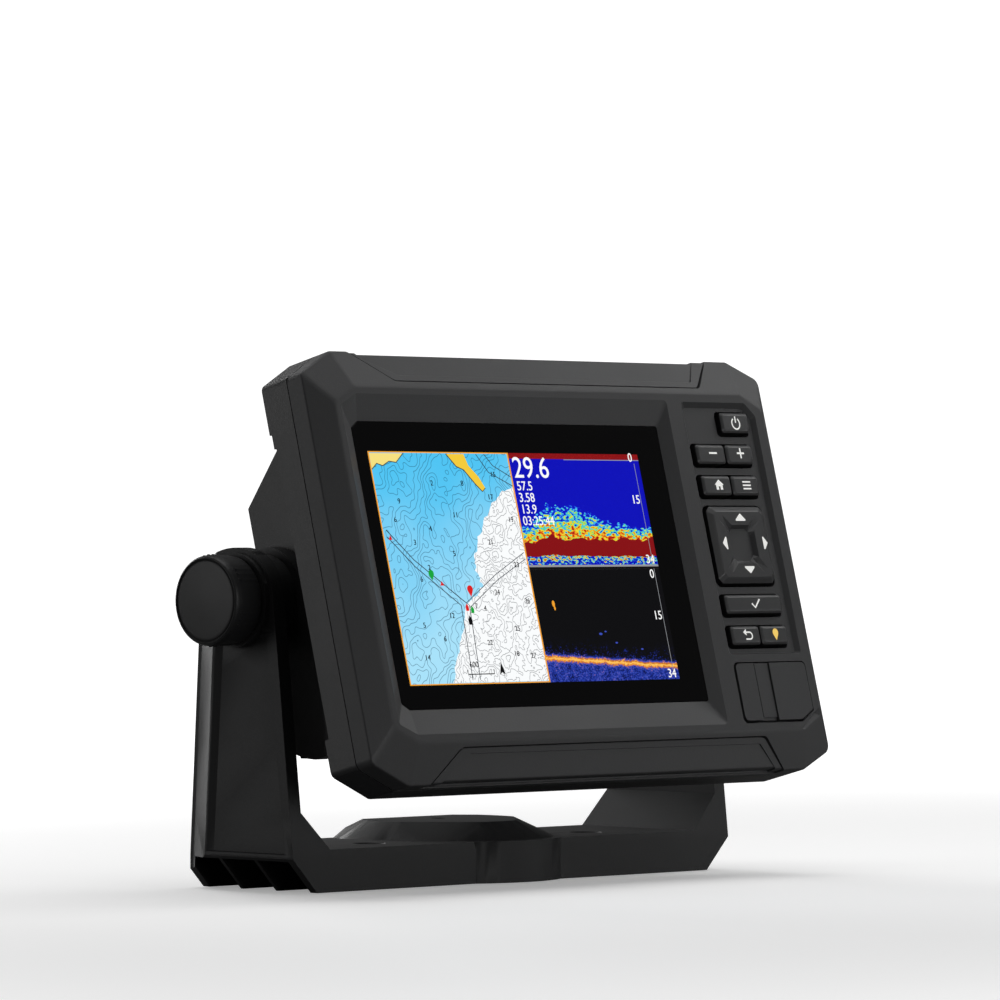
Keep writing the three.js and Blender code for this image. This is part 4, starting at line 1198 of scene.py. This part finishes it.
class Picture(Shader):
    """A lit field with u to the right and v up, both in millimetres from its lower left corner."""

    def __init__(self, name, corner):
        super().__init__(name, UNLIT, 0.1)
        place = self.place()
        origin = FACE @ Vector((corner[0], 0, corner[1]))
        self.u = self.along(place, Vector((1, 0, 0)), origin)
        self.v = self.along(place, UP, origin)

    def along(self, place, axis, origin):
        node = vector_math(self.tree, "DOT_PRODUCT", place, 1, axis)
        return Value(self.tree, node.outputs["Value"]) - axis.dot(origin)

    def field(self, u, v, size, detail=2.0, seed=0.0):
        """Noise over the picture, from 0 to 1."""
        node = self.tree.nodes.new("ShaderNodeCombineXYZ")
        for slot, item in zip(node.inputs, (u, v, seed)):
            feed(self.tree, slot, item)
        return self.noise(node.outputs[0], size, detail)

    def shine(self, colour, light=1.0):
        self.set("Emission Color", colour)
        self.set("Emission Strength", light)
        return self.material


def contour_lines(picture, depth, spacing, width):
    """1 on lines where depth(u, v) is a whole number of spacings."""
    reach = 0.08
    here = depth(picture.u, picture.v) / spacing
    east = (depth(picture.u + reach, picture.v) / spacing - here) / reach
    north = (depth(picture.u, picture.v + reach) / spacing - here) / reach
    slope = (east * east + north * north).math("SQRT")
    off = (here.math("FRACT") - 0.5).math("ABSOLUTE")
    return 1 - (off / (slope + 0.02)).step(width * 0.35, width * 0.75)


def shallow_water(corner, height):
    picture = Picture("shallow_water", corner)

    def depth(u, v):
        wave = picture.field(u, v, 10.5, 2.0, 3.0) * 36
        return wave + u * 0.62 - v * 0.42

    lines = contour_lines(picture, depth, 2.7, 0.17)
    level = (picture.v / height).math("MULTIPLY", 1.0, clamp=True)
    drift = picture.field(picture.u, picture.v, 22, 1.0, 8.0) - 0.5
    blend = (level + drift * 0.5 - picture.u * 0.003).step(0.05, 0.95)
    water = picture.mix(blend, tint(168, 226, 250), tint(78, 196, 243))
    return picture.shine(picture.mix(lines * 0.62, water, tint(20, 62, 92)))


def deep_water(corner):
    picture = Picture("deep_water", corner)

    def depth(u, v):
        return picture.field(u, v, 6.5, 3.0, 5.0) * 30 + picture.field(u, v, 19, 1.0, 1.0) * 22

    lines = contour_lines(picture, depth, 2.5, 0.15)
    return picture.shine(picture.mix(lines * 0.72, tint(250, 252, 253), tint(60, 66, 74)))


SONAR_STOPS = [
    (0.0, 2, 4, 178), (0.30, 4, 14, 196), (0.37, 30, 96, 240), (0.44, 84, 222, 236), (0.52, 92, 206, 74),
    (0.60, 246, 232, 50), (0.69, 242, 140, 26), (0.78, 198, 30, 16), (0.90, 134, 8, 14),
]
SCAN_STOPS = [
    (0.0, 3, 3, 6), (0.12, 6, 8, 30), (0.30, 22, 44, 150), (0.46, 60, 84, 190),
    (0.58, 170, 96, 40), (0.74, 238, 140, 34), (0.95, 252, 196, 96),
]


def sonar_return(corner, width, height):
    picture = Picture("sonar_return", corner)
    u = picture.u / width
    v = picture.v / height
    roll = picture.field(picture.u, 0.0, 7, 2.0, 2.0) - 0.5
    ground = roll * 0.2 + u * 0.04 + 0.215
    weeds = picture.field(picture.u, 0.0, 3.2, 2.0, 9.0)
    near = (u - 0.36) * (1 / 0.27)
    hill = (near * near * -1).math("EXPONENT")
    tall = hill * 0.16 + weeds * 0.11 + 0.03
    above = (v - ground) / tall
    speck = picture.field(picture.u, picture.v * 1.8, 1.25, 2.0, 4.0) - 0.5
    grain = picture.field(picture.u, picture.v * 2.2, 0.42, 1.0, 6.0) - 0.5
    cloud = above * -0.36 + speck * 1.25 + 0.72
    ground_hit = grain * 0.35 + 0.97
    fringe = grain * 0.8 + speck * 2.2 + v * 4.0 + 0.18
    inside = above.below(0.0)
    low = v.below(roll * 0.07 + 0.085)
    open_water = grain * 0.16 + speck * 0.16 + 0.10
    far_off = above.above(1.25)
    strength = cloud * (1 - inside) + ground_hit * inside
    strength = strength * (1 - far_off) + open_water * far_off
    strength = strength * (1 - low) + fringe * low
    top = (v - 0.95).above(0.0)
    strength = strength * (1 - top) + (grain * 0.2 + 0.9) * top
    return picture.shine(ramp(picture, strength.math("MULTIPLY", 1.0, clamp=True), SONAR_STOPS))


def scan_return(corner, width, height):
    picture = Picture("scan_return", corner)
    u = picture.u / width
    v = picture.v / height
    roll = picture.field(picture.u, 0.0, 5, 2.5, 12.0) - 0.5
    ground = roll * 0.05 + 0.215 - u * 0.09
    off = (v - ground) * 34
    ridge = (off * off * -1).math("EXPONENT")
    grain = picture.field(picture.u, picture.v * 1.4, 0.42, 2.0, 14.0)
    cloud = picture.field(picture.u, picture.v, 1.6, 2.0, 15.0)
    below = (v - ground).below(0.0)
    high = (v - ground).step(0.22, 0.0)
    under = below * ((grain - 0.5) * 0.9 + (cloud - 0.5) * 0.4 + 0.31)
    over = (1 - below) * high * ((grain - 0.55) * 2.2 + (cloud - 0.47) * 1.2)
    strength = under.math("MAXIMUM", 0.0) + over.math("MAXIMUM", 0.0) + ridge * (grain * 0.4 + 0.5)
    return picture.shine(ramp(picture, strength.math("MULTIPLY", 1.0, clamp=True), SCAN_STOPS))


GLASS = black_glass()
EDGE_LEFT = SCREEN_X - SCREEN_W / 2
EDGE_LOW = -SCREEN_H / 2
CHART_W = 54.6
SIDE_W = SCREEN_W - CHART_W - 0.5
SIDE_LEFT = EDGE_LEFT + CHART_W + 0.5
HALF_H = SCREEN_H / 2
PANE_EDGE = 0.35  # from the middle line to the upper and the lower sonar picture


def on_chart(u, v):
    return (EDGE_LEFT + 0.5 + u * (CHART_W - 0.7), EDGE_LOW + 0.5 + v * (SCREEN_H - 1.0))


def charted(points):
    return [on_chart(u, v) for u, v in points]


def layer(name, outlines, level, material):
    """Thin lit shapes on the picture; level 1 lies on the picture, level 2 on top of that."""
    parts = [prism(name, outline, -0.005, -0.03 * level) for outline in outlines]
    gather(parts)
    return piece(parts[0], name, "head", material)


def digits(name, rows, level, material):
    """Numbers from rows of (text, left, foot, height)."""
    parts = []
    for text, left, foot, height in rows:
        curve = bpy.data.curves.new(name, "FONT")
        curve.body = text
        curve.size = height / 0.729
        curve.resolution_u = 4
        obj = new_object(name, curve)
        graph = bpy.context.evaluated_depsgraph_get()
        mesh = bpy.data.meshes.new_from_object(obj.evaluated_get(graph), depsgraph=graph)
        bpy.data.objects.remove(obj)
        bpy.data.curves.remove(curve)
        work = bmesh.new()
        work.from_mesh(mesh)
        bmesh.ops.remove_doubles(work, verts=work.verts, dist=1e-5)
        faces = bmesh.ops.extrude_face_region(work, geom=work.faces[:])
        lifted = [g for g in faces["geom"] if isinstance(g, bmesh.types.BMVert)]
        bmesh.ops.translate(work, verts=lifted, vec=(0, 0, 0.03 * level - 0.005))
        bmesh.ops.recalc_face_normals(work, faces=work.faces)
        work.to_mesh(mesh)
        work.free()
        mesh.transform(Matrix.Rotation(math.radians(90), 4, "X"))
        mesh.transform(Matrix.Translation((left, -0.005, foot)))
        parts.append(new_object(name, mesh))
    gather(parts)
    return piece(parts[0], name, "head", material)


def wavy(points, amount, steps=6):
    """Adds gentle bends between points."""
    made = []
    for i in range(len(points) - 1):
        a = Vector(points[i])
        b = Vector(points[i + 1])
        side = Vector((a.y - b.y, b.x - a.x)).normalized()
        for k in range(steps):
            t = k / steps
            bend = math.sin(12.9 * i + 5.1 * t) * 0.6 + math.sin(7.3 * i + 11.7 * t) * 0.4
            made.append(tuple(a.lerp(b, t) + side * amount * bend * math.sin(math.pi * t)))
    made.append(tuple(points[-1]))
    return made


def blobs(rows, wide, tall):
    """Small ovals on the lower sonar picture, from rows of (across, up, size)."""
    made = []
    for u, v, size in rows:
        x = SIDE_LEFT + u * SIDE_W
        z = EDGE_LOW + v * HALF_H
        turns = [a * 0.7 for a in range(9)]
        made.append([(x + math.cos(t) * size * wide, z + math.sin(t) * size * tall) for t in turns])
    return made


def build_picture():
    def field(name, left, right, low, high, material):
        plate = block(name, (left, 0.0, low), (right, 0.58, high))
        piece(plate, name, "head", material)

    low = EDGE_LOW + 0.01
    high = HALF_H - 0.01
    right = SCREEN_X + SCREEN_W / 2 - 0.01
    chart = (EDGE_LEFT, EDGE_LOW)
    water = shallow_water(chart, SCREEN_H)
    field("chart_view", EDGE_LEFT + 0.01, EDGE_LEFT + CHART_W, low, high, water)
    pane = HALF_H - PANE_EDGE
    upper = sonar_return((SIDE_LEFT, PANE_EDGE), SIDE_W, pane)
    field("sonar_view", SIDE_LEFT, right, PANE_EDGE, high, upper)
    lower = scan_return((SIDE_LEFT, EDGE_LOW), SIDE_W, pane)
    field("scan_view", SIDE_LEFT, right, low, -PANE_EDGE, lower)
    white = lit_colour("screen_white", tint(252, 252, 252), 1.05)
    orange, black, sand, shoal, grey, red, green, line, blue = (
        lit_colour("screen_" + word, tint(*colour)) for word, *colour in (
            ("orange", 246, 164, 44), ("black", 8, 8, 10), ("land", 250, 228, 130),
            ("shoal", 248, 206, 58), ("grey", 150, 152, 156), ("red", 222, 30, 30),
            ("green", 20, 168, 60), ("line", 52, 60, 68), ("blue", 60, 80, 190),
        )
    )
    # chart: deep water, land, channels
    bounds_uv = [
        (1.0, 0.86), (0.90, 0.83), (0.81, 0.77), (0.73, 0.69), (0.66, 0.60), (0.615, 0.52),
        (0.63, 0.46), (0.65, 0.42), (0.59, 0.375), (0.505, 0.341), (0.44, 0.22), (0.37, 0.12),
        (0.30, 0.0), (1.0, 0.0),
    ]
    deep = wavy(charted(bounds_uv[:-1]), 0.9) + charted(bounds_uv[-1:])
    layer("chart_deep", [deep], 1, deep_water(chart))
    shore = [(0, 0.93), (0.04, 0.955), (0.08, 0.945), (0.13, 0.965), (0.18, 0.96), (0.24, 1.0)]
    layer("chart_land", [charted([(0, 1)] + shore)], 2, sand)
    bank = [(0.55, 1.0), (0.61, 0.945), (0.66, 0.93), (0.73, 0.865), (0.77, 0.835), (0.795, 0.85)]
    layer("chart_spit", [charted(bank + [(0.76, 0.90), (0.70, 0.95), (0.68, 1.0)])], 2, shoal)
    channel = []
    for points, width in (
        ([(0.02, 0.635), (0.18, 0.505), (0.46, 0.335), (0.445, 0.01)], 0.22),
        ([(0.02, 0.665), (0.18, 0.535), (0.475, 0.36), (0.52, 0.335), (0.50, 0.01)], 0.22),
        ([(0.50, 0.345), (0.755, 0.47), (0.99, 0.565)], 0.2),
        ([(0.52, 0.325), (0.76, 0.445), (0.99, 0.535)], 0.2),
        ([(0.77, 1.0), (0.84, 0.92), (1.0, 0.86)], 0.2),
        ([(0.83, 1.0), (0.88, 0.95), (1.0, 0.90)], 0.2),
        (bank, 0.26), (shore, 0.26),
    ):
        channel.append(stroke(charted(points), width))
    layer("chart_lines", channel, 3, line)

    def mark(u, v, shape, size):
        x, z = on_chart(u, v)
        return [(x + a * size, z + b * size) for a, b in shape]

    triangle = [(-1, -0.7), (1, -0.7), (0, 1)]
    drop = [(0, -1.4)] + arc((0, 0.3), 0.85, math.radians(-25), math.radians(205), 12)
    boat = [(-0.7, -1.2), (0.7, -1.2), (0.8, 0.3), (0, 1.5), (-0.8, 0.3)]
    layer("chart_red_marks", [
        mark(0.04, 0.63, triangle, 0.7), mark(0.35, 0.43, triangle, 0.7),
        mark(0.545, 0.40, drop, 1.25), mark(0.50, 0.325, boat, 0.75),
    ], 4, red)
    layer("chart_green_marks", [
        mark(0.285, 0.47, drop, 1.15), mark(0.535, 0.315, boat, 0.75),
    ], 4, green)
    scale_bar = charted([(0.42, 0.055), (0.42, 0.035), (0.61, 0.035), (0.61, 0.055)])
    north = [(-0.9, -1.3), (0, -0.7), (0.9, -1.3), (0, 1.6)]
    layer("chart_black_marks", [
        mark(0.506, 0.268, boat, 0.95), mark(0.67, 0.055, north, 1.2), stroke(scale_bar, 0.28),
    ], 4, black)
    small = []
    # (number, place across, place up), the places in hundredths of the chart
    for number, u, v in (
        (2, 40, 86), (6, 9, 70), (4, 33, 66), (5, 47, 55), (3, 20, 60), (2, 27, 49), (6, 20, 44),
        (7, 56, 32), (4, 62, 31), (5, 16, 24), (6, 29, 18), (8, 62, 86), (15, 85, 90), (17, 80, 80),
        (19, 92, 70), (21, 74, 60), (23, 90, 50), (24, 72, 38), (26, 93, 34), (22, 60, 16),
        (25, 82, 22), (27, 90, 10), (18, 78, 11), (12, 36, 28), (9, 14, 78), (11, 52, 72),
        (14, 13, 10), (600, 44, 6.5),
    ):
        x, z = on_chart(u / 100, v / 100)
        small.append((str(number), x, z, 1.55 if number < 100 else 1.7))
    digits("chart_depths", small, 4, black)
    # borders
    inner = EDGE_LEFT + 0.3
    edge = EDGE_LEFT + CHART_W
    layer("chart_border", [
        rectangle(EDGE_LEFT, inner, EDGE_LOW, HALF_H),
        rectangle(edge - 0.2, edge + 0.2, EDGE_LOW, HALF_H),
        rectangle(inner, edge - 0.2, EDGE_LOW, EDGE_LOW + 0.3),
        rectangle(inner, edge - 0.2, HALF_H - 0.3, HALF_H),
    ], 5, orange)
    ruler = (right - 2.1, right - 1.95)
    layer("pane_lines", [
        rectangle(SIDE_LEFT, right, 0.0, 0.55),
        rectangle(SIDE_LEFT + 22, right, HALF_H - 1.85, HALF_H - 1.65),
        rectangle(*ruler, EDGE_LOW + 1, -0.6), rectangle(*ruler, 0.8, HALF_H - 2.6),
    ], 1, grey)
    layer("pane_gap", [rectangle(SIDE_LEFT, right, -0.7, 0.0)], 1, black)
    # numbers
    x = SIDE_LEFT
    digits("big_number", [("29.6", x + 0.7, HALF_H - 7.0, 6.2)], 2, white)
    digits("small_numbers", [
        ("57.5", x + 1.0, HALF_H - 10.6, 2.7), ("3.58", x + 1.0, HALF_H - 13.9, 2.7),
        ("13.9", x + 1.0, HALF_H - 17.2, 2.7), ("03:25:44", x + 0.9, HALF_H - 20.5, 2.7),
        ("0", right - 4.2, HALF_H - 2.1, 2.6), ("15", right - 5.9, HALF_H * 0.56, 2.6),
        ("34", right - 4.6, 0.9, 2.6), ("0", right - 4.2, -3.3, 2.6),
        ("15", right - 5.9, EDGE_LOW + HALF_H * 0.53, 2.6), ("34", right - 4.6, EDGE_LOW + 0.5, 2.6),
    ], 2, white)
    layer("scan_marks", blobs([(0.13, 0.68, 0.95), (0.135, 0.64, 0.6)], 0.6, 1), 1, orange)
    specks = [(0.45, 0.41, 0.7), (0.49, 0.43, 0.45), (0.56, 0.33, 0.5), (0.75, 0.27, 0.5)]
    layer("scan_specks", blobs(specks, 1, 0.5), 1, blue)


# ------------------------------------------------------------------ build
build_bezel()
build_trims()
build_lens()
for key in ("power", "zoom_out", "zoom_in", "home", "menu", "select", "back", "mark"):
    keycap("key_" + key)
build_legends(build_rocker())
build_door()
build_housing()
build_cradle()
build_latch()
build_sockets()
build_bracket()
build_knobs()
build_picture()

# Inner parts keep their CAD meshes and take a finish each.
FINISH = {
    STEEL: [
        "clamp_bolt_", "knob_washer_", "latch_pin", "latch_spring", "backlight_frame",
        "housing_screw_", "card_socket",
    ],
    BRASS: ["threaded_insert_", "power_contacts", "sonar_contacts"],
    RUBBER: [
        "friction_washer_", "lens_tape", "keypad_mat", "housing_seal", "card_door_seal",
        "rocker_pivot", "beeper",
    ],
    BOARD: ["main_board", "keypad_board"],
    CERAMIC: ["gnss_antenna"],
    DARK: ["memory_card"],
    GLASS: ["display_panel"],
}
for finish, starts in FINISH.items():
    for name, node in NODES.items():
        if node.hide_render or not name.startswith(tuple(starts)):
            continue
        node.data.materials.clear()
        node.data.materials.append(finish)


# ------------------------------------------------------------------ floor, light and camera
def seen_by_camera(tree, seen, unseen):
    """A number that is seen for the camera's own rays and unseen for light bouncing about."""
    path = tree.nodes.new("ShaderNodeLightPath")
    level = tree.nodes.new("ShaderNodeMapRange")
    level.inputs["To Min"].default_value = unseen
    level.inputs["To Max"].default_value = seen
    tree.links.new(path.outputs["Is Camera Ray"], level.inputs["Value"])
    return Value(tree, level.outputs[0])


def floor_material():
    shader = Shader("floor", (0.9, 0.9, 0.9), 0.6, Specular_IOR_Level=0.2)
    soft = shader.noise(shader.place(), 90, detail=1.0)
    pale = shader.mix(soft, (0.90, 0.90, 0.90), (0.93, 0.93, 0.93))
    direct = seen_by_camera(shader.tree, 1.0, 0.0)
    shader.set("Base Color", shader.mix(direct, (0.14, 0.14, 0.14), pale))
    shader.set("Emission Color", (1.0, 1.0, 1.0))
    offset = vector_math(shader.tree, "LENGTH", shader.place())
    away = Value(shader.tree, offset.outputs["Value"]).step(250, 1100)
    shader.set("Emission Strength", direct * (away * 0.9 + 0.3))
    return shader.material


def softbox(name, place, target, size, watts):
    light = bpy.data.lights.new(name, "AREA")
    light.shape = "RECTANGLE"
    light.size = size[0] * MM
    light.size_y = size[1] * MM
    light.energy = watts
    obj = new_object(name, light)
    obj.location = Vector(place) * MM
    aim = Vector(target) - Vector(place)
    obj.rotation_mode = "QUATERNION"
    obj.rotation_quaternion = aim.to_track_quat("-Z", "Y")


floor = from_faces("floor", [(-6, -6, 0), (6, -6, 0), (6, 6, 0), (-6, 6, 0)], [(0, 1, 2, 3)])
floor.location.z = -0.0002
floor.data.materials.append(floor_material())

world = bpy.data.worlds.new("studio")
SCENE.world = world
world.use_nodes = True
tree = world.node_tree
background = next(n for n in tree.nodes if n.type == "BACKGROUND")
tree.links.new(seen_by_camera(tree, 1.15, 0.07).socket, background.inputs["Strength"])
background.inputs["Color"].default_value = (1, 1, 1, 1)

AZIMUTH = math.radians(-46.64)
ELEVATION = math.radians(-0.12)
RIGHT = Vector((math.cos(AZIMUTH), math.sin(AZIMUTH), 0))
BACK = Vector((
    math.sin(AZIMUTH) * math.cos(ELEVATION),
    -math.cos(AZIMUTH) * math.cos(ELEVATION),
    math.sin(ELEVATION),
))
OVER = BACK.cross(RIGHT)
AIM = FACE @ Vector((SCREEN_X, 0, 0))

softbox("overhead", AIM + Vector((80, 90, 560)), AIM + Vector((20, 30, 0)), (700, 460), 1.7)
softbox("right", AIM + Vector((460, -120, 330)), AIM + Vector((60, 0, -40)), (260, 260), 0.65)
softbox("low_right", AIM + Vector((440, -330, -25)), AIM + Vector((60, 0, -75)), (180, 90), 0.25)
softbox("left", AIM + Vector((-700, 500, 100)), AIM + Vector((0, 0, -40)), (400, 400), 1.15)
softbox("rear", AIM + Vector((150, 900, 150)), AIM, (500, 500), 4.5)
softbox("front", AIM + Vector((-60, -700, 60)), AIM + Vector((0, 0, -30)), (300, 300), 1.15)

camera = bpy.data.cameras.new("camera")
camera.sensor_width = 36
camera.lens = 226.2
camera.clip_start = 0.05
camera.clip_end = 50
eye = new_object("camera", camera)
eye.location = (AIM - RIGHT * 7.34 + OVER * 18.40 + BACK * 1721.5) * MM
pose = Matrix((RIGHT, OVER, BACK)).transposed()
eye.rotation_mode = "QUATERNION"
eye.rotation_quaternion = (pose @ Matrix.Rotation(math.radians(0.137), 3, "Z")).to_quaternion()
SCENE.camera = eye
SCENE.view_settings.view_transform = "Standard"
